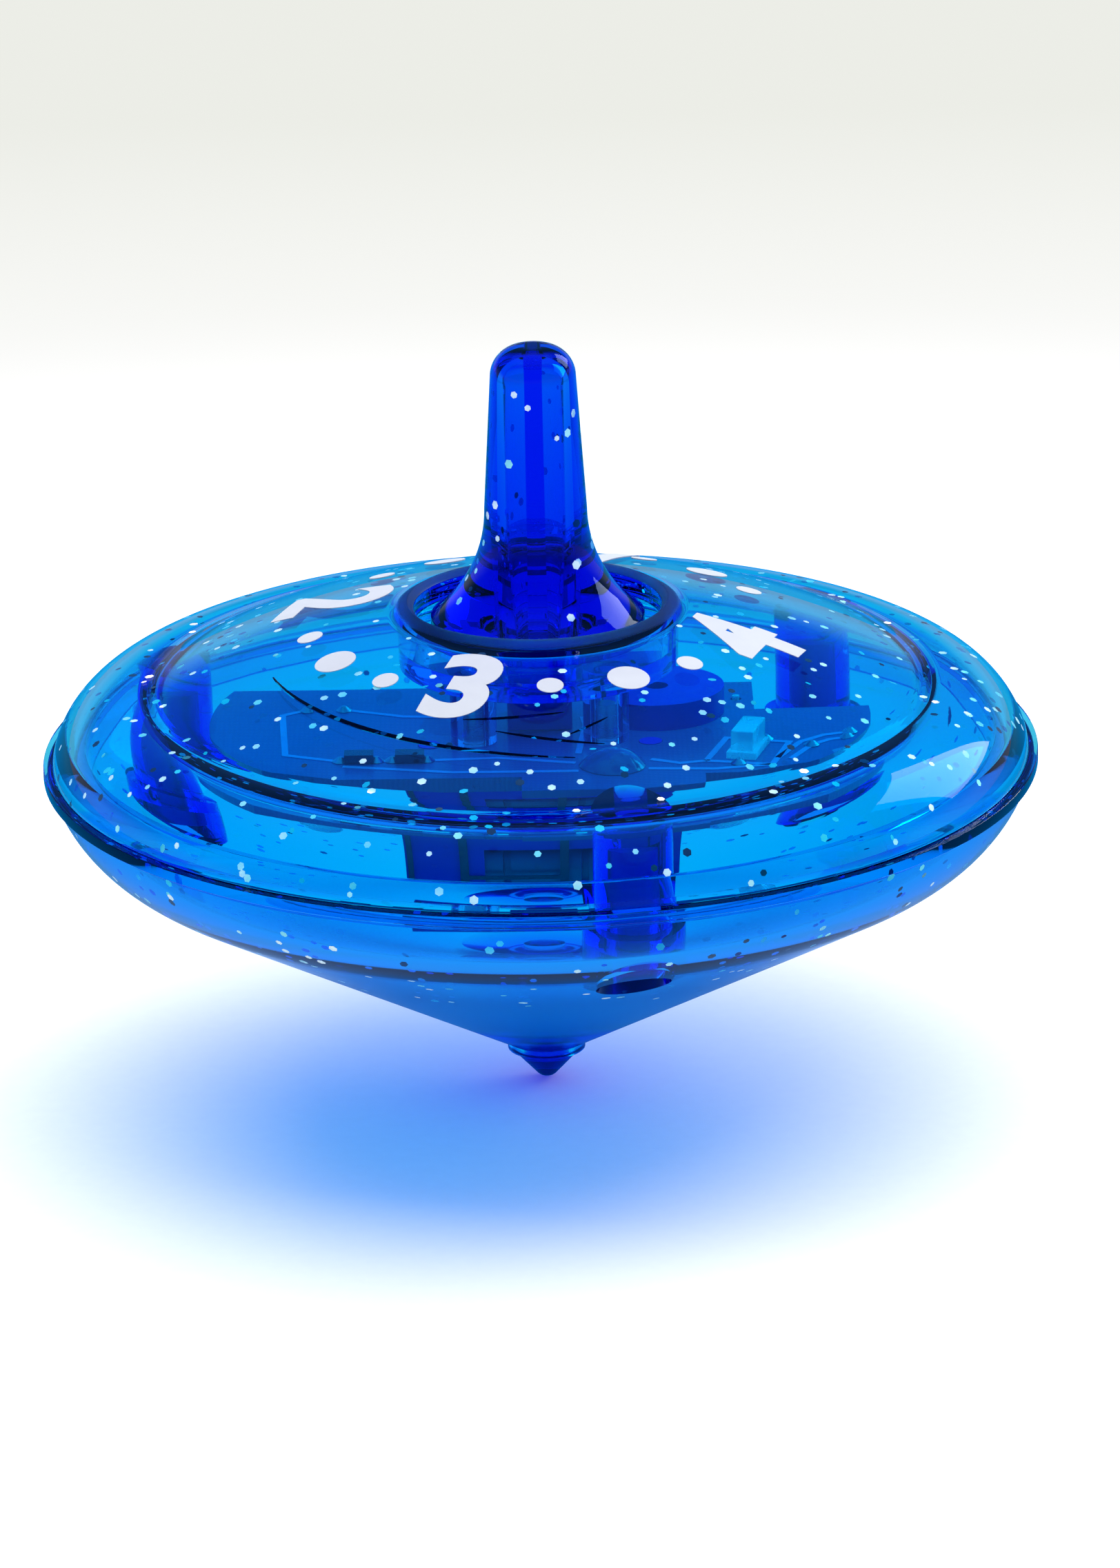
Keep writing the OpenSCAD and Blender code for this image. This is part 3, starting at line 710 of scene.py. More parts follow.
class GeometryTree:
    """A tree of geometry nodes with named inputs, run on a base mesh."""

    name = "tree"
    inputs: dict[str, str] = {}

    def wire(self, bench: Bench, given: Node) -> Socket:
        """Adds the tree's nodes and returns the geometry that leaves it."""
        raise NotImplementedError

    def tree(self) -> bpy.types.NodeTree:
        """Makes the tree, once."""
        made = bpy.data.node_groups.get(self.name)
        if made is None:
            made = bpy.data.node_groups.new(self.name, "GeometryNodeTree")
            made.interface.new_socket("Geometry", in_out="INPUT", socket_type="NodeSocketGeometry")
            for label, kind in self.inputs.items():
                made.interface.new_socket(label, in_out="INPUT", socket_type=kind)
            made.interface.new_socket("Geometry", in_out="OUTPUT", socket_type="NodeSocketGeometry")
            bench = Bench(made)
            given = bench.add("NodeGroupInput")
            whole = bench.add("GeometryNodeRealizeInstances", {}, {"Geometry": self.wire(bench, given)})
            dressed = bench.add("GeometryNodeSetMaterial", {}, {
                "Geometry": whole.outputs[0], "Material": given.outputs["Material"]})
            bench.add("NodeGroupOutput", {}, {"Geometry": dressed.outputs[0]})
        return made

    def grow(self, name: str, base: Form, values: dict[str, Any]) -> Piece:
        """Runs the tree and keeps its result as a plain mesh.

        Args:
            name: Name of the piece.
            base: The mesh that it starts from.
            values: Values of the named inputs.

        Returns:
            The piece.
        """
        piece = settle(name, base, outward=False)
        tree = self.tree()
        step = piece.modifiers.new("grow", "NODES")
        step.node_group = tree
        for item in tree.interface.items_tree:
            if item.in_out == "INPUT" and item.name in values:
                step[item.identifier] = values[item.name]
        bake(piece)
        return piece


class GlitterTree(GeometryTree):
    """Scatters six-sided flakes below a surface, most of them flat below the skin, each turned and toned by chance."""

    name = "glitter_flakes"
    inputs = {
        "Density": "NodeSocketFloat", "Flake Radius": "NodeSocketFloat", "Flake Thickness": "NodeSocketFloat",
        "Depth": "NodeSocketFloat", "Tilt": "NodeSocketFloat", "Seed": "NodeSocketInt",
        "Material": "NodeSocketMaterial",
    }
    sink_power = 5.0
    size_range = (0.65, 1.1)

    def wire(self, bench: Bench, given: Node) -> Socket:
        """Points on the surface, moved in depth, with a flake on each that tilts more the deeper it lies."""
        points = bench.add("GeometryNodeDistributePointsOnFaces", {}, {
            "Mesh": given.outputs["Geometry"], "Density": given.outputs["Density"], "Seed": given.outputs["Seed"]})
        chance = bench.add("FunctionNodeRandomValue", {"data_type": "FLOAT"}, {"Min": 0.0, "Max": 1.0, "Seed": 3})
        sunk = bench.term(chance, "Value") ** self.sink_power
        shift = bench.add("ShaderNodeVectorMath", {"operation": "SCALE"}, {
            "Vector": points.outputs["Normal"], "Scale": sunk * bench.term(given, "Depth") * -1.0})
        sunken = bench.add("GeometryNodeSetPosition", {}, {
            "Geometry": points.outputs["Points"], "Offset": shift.outputs[0]})
        turn = bench.add("FunctionNodeRandomValue", {"data_type": "FLOAT_VECTOR"}, {
            "Min": (-1.0, -1.0, 0.0), "Max": (1.0, 1.0, math.tau), "Seed": 5})
        parts = bench.add("ShaderNodeSeparateXYZ", {}, {0: bench.term(turn, "Value")})
        tilt = bench.term(given, "Tilt") * (sunk * 2.0 + 0.1).least(1.0)
        lean = bench.add("ShaderNodeCombineXYZ", {}, {
            "X": bench.term(parts, "X") * tilt, "Y": bench.term(parts, "Y") * tilt, "Z": bench.term(parts, "Z")})
        euler = bench.add("FunctionNodeEulerToRotation", {}, {0: lean.outputs[0]})
        facing = bench.add("FunctionNodeRotateRotation", {"rotation_space": "LOCAL"}, {
            "Rotation": points.outputs["Rotation"], "Rotate By": euler.outputs[0]})
        flake = bench.add("GeometryNodeMeshCylinder", {}, {
            "Vertices": 6, "Radius": given.outputs["Flake Radius"], "Depth": given.outputs["Flake Thickness"]})
        size = bench.add("FunctionNodeRandomValue", {"data_type": "FLOAT"}, {
            "Min": self.size_range[0], "Max": self.size_range[1], "Seed": 7})
        flakes = bench.add("GeometryNodeInstanceOnPoints", {}, {
            "Points": sunken.outputs[0], "Instance": flake.outputs["Mesh"], "Rotation": facing.outputs[0],
            "Scale": bench.term(size, "Value")})
        tone = bench.add("FunctionNodeRandomValue", {"data_type": "FLOAT"}, {"Min": 0.0, "Max": 1.0, "Seed": 9})
        named = bench.add("GeometryNodeStoreNamedAttribute", {"data_type": "FLOAT", "domain": "INSTANCE"}, {
            "Geometry": flakes.outputs[0], "Name": Finishes.FLAKE.attribute, "Value": bench.term(tone, "Value")})
        return named.outputs[0]


class DotTree(GeometryTree):
    """Lays round print dots on a sphere, one on each point of the base."""

    name = "print_dots"
    inputs = {
        "Sphere Centre": "NodeSocketVector", "Sphere Radius": "NodeSocketFloat", "Thickness": "NodeSocketFloat",
        "Material": "NodeSocketMaterial",
    }

    def wire(self, bench: Bench, given: Node) -> Socket:
        """A disc on each point, faced outwards and then bent to the sphere."""
        place = bench.add("GeometryNodeInputPosition").outputs[0]
        centre = given.outputs["Sphere Centre"]
        thick = bench.term(given, "Thickness")
        out = bench.add("ShaderNodeVectorMath", {"operation": "SUBTRACT"}, {0: place, 1: centre})
        facing = bench.add("FunctionNodeAlignRotationToVector", {"axis": "Z"}, {"Vector": out.outputs[0]})
        size = bench.add("GeometryNodeInputNamedAttribute", {"data_type": "FLOAT"}, {"Name": "radius"})
        scale = bench.add("ShaderNodeCombineXYZ", {}, {
            "X": bench.term(size, "Attribute"), "Y": bench.term(size, "Attribute"), "Z": 1.0})
        disc = bench.add("GeometryNodeMeshCylinder", {"fill_type": "TRIANGLE_FAN"}, {
            "Vertices": 40, "Side Segments": 1, "Fill Segments": 4, "Radius": 1.0, "Depth": thick})
        apart = bench.add("ShaderNodeSeparateXYZ", {}, {0: place})
        lift = bench.add("GeometryNodeStoreNamedAttribute", {"data_type": "FLOAT", "domain": "POINT"}, {
            "Geometry": disc.outputs["Mesh"], "Name": "lift", "Value": bench.term(apart, "Z") + thick * 0.55})
        laid = bench.add("GeometryNodeInstanceOnPoints", {}, {
            "Points": given.outputs["Geometry"], "Instance": lift.outputs[0], "Rotation": facing.outputs[0],
            "Scale": scale.outputs[0]})
        whole = bench.add("GeometryNodeRealizeInstances", {}, {"Geometry": laid.outputs[0]})
        unit = bench.add("ShaderNodeVectorMath", {"operation": "NORMALIZE"}, {0: out.outputs[0]})
        height = bench.add("GeometryNodeInputNamedAttribute", {"data_type": "FLOAT"}, {"Name": "lift"})
        reach = bench.term(height, "Attribute") + bench.term(given, "Sphere Radius")
        arm = bench.add("ShaderNodeVectorMath", {"operation": "SCALE"}, {"Vector": unit.outputs[0], "Scale": reach})
        spot = bench.add("ShaderNodeVectorMath", {"operation": "ADD"}, {0: arm.outputs[0], 1: centre})
        bent = bench.add("GeometryNodeSetPosition", {}, {"Geometry": whole.outputs[0], "Position": spot.outputs[0]})
        return bent.outputs[0]


class SolderTree(GeometryTree):
    """Sets a small solder fillet on each point of the base."""

    name = "solder_fillets"
    inputs = {"Pad Radius": "NodeSocketFloat", "Height": "NodeSocketFloat", "Material": "NodeSocketMaterial"}

    def wire(self, bench: Bench, given: Node) -> Socket:
        """A short cone on each point."""
        height = bench.term(given, "Height")
        cone = bench.add("GeometryNodeMeshCone", {}, {
            "Vertices": 20, "Side Segments": 3, "Radius Top": bench.term(given, "Pad Radius") * 0.3,
            "Radius Bottom": given.outputs["Pad Radius"], "Depth": height})
        laid = bench.add("GeometryNodeInstanceOnPoints", {}, {
            "Points": given.outputs["Geometry"], "Instance": cone.outputs["Mesh"]})
        return laid.outputs[0]


# The top


@dataclass(frozen=True)
class CaseSizes:
    """Sizes in mm that the shells and what lies in them share."""

    case_r: float = 35.0
    seam_h: float = 24.5
    wall: float = 1.6
    flange_step: float = 0.65
    shoulder_r: float = 6.0
    shoulder_drop: float = 0.9
    groove_in: float = 0.9
    cap_sphere_r: float = 62.0
    dish_slope: float = 29.0
    dish_bend_r: float = 10.0
    lip_h: float = 1.5
    easy_gap: float = 0.15
    joint_gap: float = 0.02
    board_gap: float = 0.04
    tip_h: float = 2.171
    tip_rim_h: float = 0.6
    socket_r: float = 2.75
    pillar_ring_r: float = 27.0
    pillar_turn: float = 13.0
    board_top: float = 26.2717

    @property
    def rim_r(self) -> float:
        """Radius of the upper shell at the seam."""
        return self.case_r - self.flange_step

    @property
    def shoulder_c(self) -> Point:
        """Centre of the round shoulder."""
        return self.rim_r - math.sqrt(self.shoulder_r ** 2 - self.shoulder_drop ** 2), self.seam_h - self.shoulder_drop

    @property
    def groove_r(self) -> float:
        """Radius of the groove ring."""
        return self.shoulder_c[0] - self.groove_in

    @property
    def groove_z(self) -> float:
        """Height of the shoulder at the groove ring."""
        return self.shoulder_c[1] + math.sqrt(self.shoulder_r ** 2 - self.groove_in ** 2)

    @property
    def cap_c(self) -> float:
        """Height of the cap sphere's centre."""
        return self.groove_z - math.sqrt(self.cap_sphere_r ** 2 - self.groove_r ** 2)

    def cap_z(self, radius: float, inset: float = 0.0) -> float:
        """Height of the cap at a radius, set in by a wall."""
        return self.cap_c + math.sqrt((self.cap_sphere_r - inset) ** 2 - radius ** 2)

    def shoulder_z(self, radius: float, inset: float = 0.0) -> float:
        """Height of the shoulder at a radius, set in by a wall."""
        return self.shoulder_c[1] + math.sqrt((self.shoulder_r - inset) ** 2 - (radius - self.shoulder_c[0]) ** 2)

    def roof_z(self, x: float, y: float, inset: float) -> float:
        """Height of the upper wall at a place, set in from its outer face."""
        radius = math.hypot(x, y)
        return self.cap_z(radius, inset) if radius < self.groove_r else self.shoulder_z(radius, inset)

    @property
    def tan_slope(self) -> float:
        """Rise of the dish."""
        return math.tan(math.radians(self.dish_slope))

    def dish_z(self, radius: float) -> float:
        """Height of the dish's outer face at a radius."""
        return self.tip_h + self.tip_rim_h + (radius - self.socket_r) * self.tan_slope

    @property
    def dish_c(self) -> Point:
        """Centre of the bend between the dish and its wall."""
        across = self.case_r - self.dish_bend_r
        tangent = across + self.dish_bend_r * math.sin(math.radians(self.dish_slope))
        return across, self.dish_z(tangent) + self.dish_bend_r * math.cos(math.radians(self.dish_slope))

    def floor_z(self, x: float, y: float) -> float:
        """Height just above the dish's inner face at a place."""
        return self.dish_z(math.hypot(x, y)) + (self.wall + self.joint_gap) / math.cos(math.radians(self.dish_slope))

    def dish_r(self, height: float, inset: float) -> float:
        """Radius of the dish's wall at a height, set in by a wall."""
        return self.dish_c[0] + math.sqrt((self.dish_bend_r - inset) ** 2 - (height - self.dish_c[1]) ** 2)

    @property
    def lip_r(self) -> float:
        """Outer radius of the locating lip."""
        return self.dish_r(self.seam_h - self.lip_h, self.wall) - self.easy_gap

    def pillars(self) -> list[Point]:
        """Places of the screws."""
        turns = (math.radians(self.pillar_turn - 90 + 120 * i) for i in range(3))
        return [(self.pillar_ring_r * math.cos(t), self.pillar_ring_r * math.sin(t)) for t in turns]


@dataclass
class Glitter:
    """Foil flakes moulded into one piece of plastic."""

    density: float = 0.12
    flake_r: float = 0.315
    flake_t: float = 0.02
    skin: float = 0.04
    depth: float = 1.35
    tilt: float = 0.6
    seed: int = 11

    def scatter(self, name: str, surface: Form, body: Body) -> None:
        """Scatters the flakes below the skin of a wall.

        Args:
            name: Name of the piece.
            surface: The outer surface, set in by the skin.
            body: The body that the plastic belongs to.
        """
        piece = GlitterTree().grow(name, surface, {
            "Density": self.density / MM ** 2, "Flake Radius": self.flake_r * MM, "Flake Thickness": self.flake_t * MM,
            "Depth": self.depth * MM, "Tilt": self.tilt, "Seed": self.seed, "Material": Finishes.FLAKE.material()})
        seat(piece, body)


@dataclass
class Flourish:
    """Engraved strokes on the dome: each row gives turns in degrees, radii in mm, half width and depth."""

    strokes: tuple[tuple[float, float, float, float, float, float], ...] = (
        (-68.0, 6.0, 19.9, 22.9, 0.22, 0.17),
        (-16.0, 5.5, 19.05, 18.1, 0.16, 0.14),
        (-8.6, 11.7, 20.1, 21.75, 0.15, 0.13),
        (5.3, 14.3, 20.6, 19.0, 0.12, 0.1),
    )
    steps: int = 28

    def stroke(self, sizes: CaseSizes, row: Sequence[float]) -> Form:
        """Makes the tool that cuts one stroke.

        Args:
            sizes: Sizes of the case.
            row: One row of strokes.

        Returns:
            A tapered bar with a V section.
        """
        start, end, first_r, last_r, half_w, depth = row
        centre = Vector((0.0, 0.0, sizes.cap_c))
        path = []
        for i in range(self.steps + 1):
            t = i / self.steps
            angle = math.radians(start + (end - start) * t)
            radius = first_r + (last_r - first_r) * t
            path.append(Vector((*swing(radius, angle), sizes.cap_z(radius))))
        rings = []
        for i, spot in enumerate(path):
            along = path[min(i + 1, self.steps)] - path[max(i - 1, 0)]
            out = (spot - centre).normalized()
            side = along.cross(out).normalized()
            swell = max(math.sin(math.pi * (0.03 + 0.94 * i / self.steps)) ** 0.6, 0.05)
            rings.append((spot - side * half_w * 2 * swell + out * depth * swell, spot - out * depth * swell,
                          spot + side * half_w * 2 * swell + out * depth * swell))
        return loft(rings)

    def tools(self, sizes: CaseSizes) -> list[Form]:
        """Makes the tools of all strokes."""
        return [self.stroke(sizes, row) for row in self.strokes]


@dataclass
class UpperShell:
    """Dome with its shoulder, groove ring, collared well, bosses, posts and locating lip."""

    sizes: CaseSizes
    flourish: Flourish = field(default_factory=Flourish)
    groove_depth: float = 0.03
    groove_reach: Point = (0.66, 0.4)
    groove_back: float = 0.22
    cap_steps: int = 26
    glitter_in: Point = (0.6, 0.9)
    glitter_turns: Point = (86.0, 14.0)
    lip_t: float = 0.9
    lip_root_h: float = 1.2
    well_r: float = 8.7
    well_wall: float = 1.0
    well_depth: float = 4.0
    well_floor_t: float = 1.2
    collar_w: float = 1.3
    collar_rise: float = 0.5
    collar_bevel: float = 0.45
    column_hole_r: float = 3.03
    key_slot: Point = (7.6, 1.5)
    boss_r: float = 2.7
    boss_z: float = 21.0942
    pilot_r: float = 1.14
    pilot_mouth: float = 0.6
    post_at: tuple[Point, ...] = ((-4.6, 4.3), (-4.6, -4.3), (4.6, -4.3))
    post_r: float = 1.6
    post_hole_r: float = 0.74
    post_hole_h: float = 3.6
    seam_gap: float = 0.01
    edge_r: float = 0.09

    def section(self) -> list[Point]:
        """Half section of the turned part, from the well outwards and back along the inside."""
        s = self.sizes
        collar_r = self.well_r + self.collar_w
        collar_top = s.cap_z(collar_r) + self.collar_rise
        floor_top = collar_top - self.well_depth
        floor_z = floor_top - self.well_floor_t
        seam = s.seam_h + self.seam_gap
        left, right = s.groove_r - self.groove_reach[0], s.groove_r + self.groove_reach[1]
        shoulder = s.shoulder_c
        inner = s.shoulder_r - s.wall
        root_z = s.seam_h + self.lip_root_h
        meet = s.groove_r - self.groove_back
        well_out = self.well_r + self.well_wall
        corners = [(self.column_hole_r, floor_top), (self.well_r, floor_top)]
        corners += [(self.well_r, collar_top - self.collar_bevel), (self.well_r + self.collar_bevel, collar_top)]
        steps = self.cap_steps
        corners += [(r, s.cap_z(r)) for r in (collar_r + (left - collar_r) * i / steps for i in range(steps + 1))]
        ends = s.cap_z(left), s.shoulder_z(right)
        for t in (i / 10 for i in range(1, 10)):
            dip = self.groove_depth * math.sin(math.pi * t) ** 2
            corners.append((left + (right - left) * t, ends[0] + (ends[1] - ends[0]) * t - dip))
        top = math.degrees(math.acos((right - shoulder[0]) / s.shoulder_r))
        rim = math.degrees(math.asin((seam - shoulder[1]) / s.shoulder_r))
        corners += arc(shoulder, s.shoulder_r, top, rim, 30)
        lip_in = s.lip_r - self.lip_t
        corners += [(s.lip_r, seam), (s.lip_r, s.seam_h - s.lip_h), (lip_in, s.seam_h - s.lip_h), (lip_in, root_z)]
        low = math.degrees(math.asin((root_z - shoulder[1]) / inner))
        high = math.degrees(math.acos((meet - shoulder[0]) / inner))
        corners += arc(shoulder, inner, low, high, 22)
        radii = (meet + (well_out - meet) * i / steps for i in range(1, steps + 1))
        corners += [(r, s.cap_z(r, s.wall)) for r in radii]
        corners += [(well_out, floor_z), (self.column_hole_r, floor_z)]
        return soften(corners, self.edge_r)

    def skin(self, inset: float) -> Form:
        """Outer surface from the collar to the rim, set in a little."""
        s = self.sizes
        start, end = self.well_r + self.collar_w + self.glitter_in[0], s.groove_r - self.glitter_in[1]
        points = [(r, s.cap_z(r, inset)) for r in (start + (end - start) * i / 20 for i in range(21))]
        points += arc(s.shoulder_c, s.shoulder_r - inset, *self.glitter_turns, 20)
        return face_out(lathe(points, closed=False, segments=96), s.seam_h)

    def bosses(self) -> None:
        """Builds the screw bosses below the shoulder, which look deeper in colour than the thin wall."""
        s = self.sizes
        roof = lambda x, y: s.roof_z(x, y, s.wall + s.joint_gap)
        piece = settle("screw_bosses", gather([rod(at, self.boss_r, self.boss_z, roof) for at in s.pillars()]))
        mouth = self.boss_z + self.pilot_mouth
        carve(piece, [rod(at, self.pilot_r, self.boss_z - 1, mouth, 40) for at in s.pillars()], Cut.TAKE)
        seat(shade(piece, Finishes.DEEP), Body.CASE)

    def build(self) -> None:
        """Builds the shell and its glitter."""
        s = self.sizes
        floor_z = s.cap_z(self.well_r + self.collar_w) + self.collar_rise - self.well_depth - self.well_floor_t
        shell = settle("upper_shell_clear", lathe(self.section()))
        low, high = s.board_top + s.board_gap, floor_z + self.well_floor_t / 2
        posts = [rod(at, self.post_r, low, high, 40) for at in self.post_at]
        carve(shell, posts, Cut.ADD)
        holes = [rod(at, self.post_hole_r, s.board_top - 1, s.board_top + self.post_hole_h, 32) for at in self.post_at]
        half = (self.key_slot[0] / 2, self.key_slot[1] / 2)
        keyway = block((-half[0], -half[1], floor_z - 1), (half[0], half[1], floor_z + self.well_floor_t + 1))
        carve(shell, holes + [keyway], Cut.TAKE)
        carve(shell, self.flourish.tools(s), Cut.TAKE)
        shade(shell, Finishes.DOME)
        seat(shell, Body.CASE, ["upper_shell"])
        self.bosses()
        flakes = Glitter(seed=11)
        flakes.scatter("upper_shell_glitter", self.skin(flakes.skin), Body.CASE)


@dataclass
class LowerShell:
    """Conical dish with its flange, screw pillars and tip socket."""

    sizes: CaseSizes
    flange_t: float = 0.8
    socket_hole_r: float = 1.54
    socket_hole_top: float = 6.211
    socket_top: float = 6.5
    glitter_r: float = 20.0
    glitter_turn: float = -20.0
    glitter_clear: float = 0.9
    flange_in: float = 0.015
    recess_low: float = 5.0
    hole_over: Point = (0.5, 1.0)
    pillar_r: float = 3.5
    pillar_top: float = 21.0542
    recess_r: float = 2.6
    seat_z: float = 19.5542
    screw_hole_r: float = 1.25
    seam_gap: float = 0.01
    edge_r: float = 0.09

    def section(self) -> list[Point]:
        """Half section of the turned part, from the socket up the outside and back down the inside."""
        s = self.sizes
        seam = s.seam_h - self.seam_gap
        centre, bend = s.dish_c, s.dish_bend_r
        flange_z = s.seam_h - self.flange_t
        start = s.dish_slope - 90
        tangent = (centre[0] + bend * math.cos(math.radians(start)), centre[1] + bend * math.sin(math.radians(start)))
        inner = bend - s.wall
        foot_z = centre[1] + inner * math.sin(math.radians(start))
        foot_r = centre[0] + inner * math.cos(math.radians(start))
        corners = [(self.socket_hole_r, s.tip_h), (s.socket_r, s.tip_h)]
        corners += span((s.socket_r, s.dish_z(s.socket_r)), tangent, 18)[:-1]
        corners += arc(centre, bend, start, math.degrees(math.asin((flange_z - centre[1]) / bend)), 22)
        corners += [(s.case_r - self.flange_in, flange_z), (s.case_r - self.flange_in, seam)]
        corners += arc(centre, inner, math.degrees(math.asin((seam - centre[1]) / inner)), start, 22)
        pool_r = foot_r - (foot_z - self.socket_top) / s.tan_slope
        corners += span((foot_r, foot_z), (pool_r, self.socket_top), 18)[1:]
        corners += [(0.0, self.socket_top), (0.0, self.socket_hole_top)]
        corners += [(self.socket_hole_r, self.socket_hole_top)]
        return soften(corners, self.edge_r)

    def skin(self, inset: float) -> Form:
        """Outer surface without the places of the screw recesses, set in a little."""
        s = self.sizes
        start = s.dish_slope - 90
        ends = arc(s.dish_c, s.dish_bend_r - inset, start, self.glitter_turn, 14)
        low = (self.glitter_r, ends[0][1] - (ends[0][0] - self.glitter_r) * s.tan_slope)
        form = face_out(lathe(span(low, ends[0], 24)[:-1] + ends, closed=False, segments=96), s.seam_h)
        clear = (self.recess_r + self.glitter_clear) * MM
        gone = [f for f in form.faces for at in s.pillars()
                if (f.calc_center_median().xy - Vector(at) * MM).length < clear]
        bmesh.ops.delete(form, geom=list(dict.fromkeys(gone)), context="FACES")
        return form

    def recesses(self) -> list[Form]:
        """Tools for the recesses of the screw heads."""
        return [rod(at, self.recess_r, self.recess_low, self.seat_z) for at in self.sizes.pillars()]

    def pillars(self) -> None:
        """Builds the screw pillars on the dish, each with its head recess and hole."""
        s = self.sizes
        rods = [rod(at, self.pillar_r, s.floor_z, self.pillar_top) for at in s.pillars()]
        piece = settle("screw_pillars", gather(rods))
        carve(piece, self.recesses(), Cut.TAKE)
        low, high = self.seat_z - self.hole_over[0], self.pillar_top + self.hole_over[1]
        carve(piece, [rod(at, self.screw_hole_r, low, high, 40) for at in s.pillars()], Cut.TAKE)
        seat(shade(piece, Finishes.DEEP), Body.CASE)

    def build(self) -> None:
        """Builds the shell and its glitter."""
        shell = settle("lower_shell_clear", lathe(self.section()))
        carve(shell, self.recesses(), Cut.TAKE)
        shade(shell, Finishes.DISH)
        seat(shell, Body.CASE, ["lower_shell"])
        self.pillars()
        flakes = Glitter(density=0.08, seed=23)
        flakes.scatter("lower_shell_glitter", self.skin(flakes.skin), Body.CASE)


@dataclass
class Tip:
    """Pressed tip: a round nose, a cone and a shank."""

    sizes: CaseSizes
    nose_r: float = 1.0
    half_angle: float = 42.0
    tip_r: float = 2.4
    shank_r: float = 1.5
    shank_h: float = 4.0
    gap: float = 0.04
    edge_r: float = 0.08

    def build(self) -> None:
        """Builds the tip."""
        head_z = self.sizes.tip_h - self.gap
        corners = arc((0.0, self.nose_r), self.nose_r, -90.0, -self.half_angle, 12)
        corners[0] = (0.0, 0.0)
        corners += [(self.tip_r, head_z), (self.shank_r, head_z), (self.shank_r, self.sizes.tip_h + self.shank_h)]
        corners += [(0.0, self.sizes.tip_h + self.shank_h)]
        tip = settle("tip_turned", lathe(soften(corners, self.edge_r), segments=96))
        seat(shade(tip, Finishes.TIP), Body.CASE, ["spinning_tip"])


@dataclass
class Stem:
    """Hollow finger stem with a flare and skirt, cored out round a cross of ribs."""

    overall_h: float = 54.1
    foot_z: float = 29.3217
    column_r: float = 2.95
    clip_low: float = 29.8817
    clip_high: float = 30.4617
    clip_bed_r: float = 2.6
    skirt_r: float = 7.5
    skirt_z: float = 32.4117
    skirt_top: float = 34.6117
    skirt_plate_t: float = 1.1
    flare_c: Point = (13.2, 42.3363)
    flare_r: float = 9.6
    root_r: float = 3.6
    top_r: float = 3.0
    round_r: float = 2.2
    core_r: float = 2.1
    core_rib_t: float = 1.1
    core_top: float = 53.0
    core_round_r: float = 1.4
    key_half: Point = (3.65, 0.6)
    key_z: float = 30.5017
    edge_r: float = 0.1
    core_end: float = 82.0
    glitter_ends: Point = (226.0, 50.0)

    def section(self) -> list[Point]:
        """Half section, from the foot up the outside to the rounded top."""
        first = math.degrees(math.atan2(self.skirt_top - self.flare_c[1], self.skirt_r - self.flare_c[0])) + 360.0
        round_z = self.overall_h - self.round_r
        corners = [(0.0, self.foot_z), (self.column_r, self.foot_z), (self.column_r, self.clip_low)]
        corners += [(self.clip_bed_r, self.clip_low), (self.clip_bed_r, self.clip_high)]
        corners += [(self.column_r, self.clip_high)]
        corners += [(self.column_r, self.skirt_z), (self.skirt_r, self.skirt_z)]
        corners += arc(self.flare_c, self.flare_r, first, 180.0, 26)
        corners += span((self.root_r, self.flare_c[1]), (self.top_r, round_z), 14)[1:-1]
        corners += arc((self.top_r - self.round_r, round_z), self.round_r, 0.0, 90.0, 14)
        corners += [(0.0, self.overall_h)]
        return soften(corners, self.edge_r)

    def pockets(self) -> list[Form]:
        """Tools for the four cored pockets between the ribs."""
        half = self.core_rib_t / 2
        middle = (self.core_r - self.core_round_r, self.core_top - self.core_round_r)
        levels = [(self.core_r, self.foot_z - 1)] + arc(middle, self.core_round_r, 0.0, self.core_end, 9)
        tools = []
        for i in range(4):
            turn = Matrix.Rotation(math.radians(90 * i), 2)
            rings = []
            for radius, height in levels:
                reach = math.degrees(math.asin(half / radius))
                outline = [(half, half)] + arc((0.0, 0.0), radius, reach, 90.0 - reach, 14)
                rings.append([(*(turn @ Vector(p)), height) for p in outline])
            tools.append(loft(rings))
        return tools

    def skin(self, inset: float) -> Form:
        """Outer surface from the flare to the rounded top, set in a little."""
        round_z = self.overall_h - self.round_r
        points = arc(self.flare_c, self.flare_r + inset, self.glitter_ends[0], 180.0, 12)
        points += [(self.top_r - inset, round_z)]
        middle = (self.top_r - self.round_r, round_z)
        points += arc(middle, self.round_r - inset, 0.0, self.glitter_ends[1], 4)[1:]
        return face_out(lathe(points, closed=False, segments=48))

    def build(self) -> None:
        """Builds the stem and its glitter."""
        stem = settle("stem_clear", lathe(self.section(), segments=128))
        plate_z = self.skirt_top - self.skirt_plate_t / 2
        x, y = self.key_half
        carve(stem, [block((-x, -y, self.key_z), (x, y, plate_z))], Cut.ADD)
        carve(stem, self.pockets(), Cut.TAKE)
        shade(stem, Finishes.STEM)
        seat(stem, Body.STEM, ["stem"])
        flakes = Glitter(density=0.09, depth=0.7, seed=31)
        flakes.scatter("stem_glitter", self.skin(flakes.skin), Body.STEM)


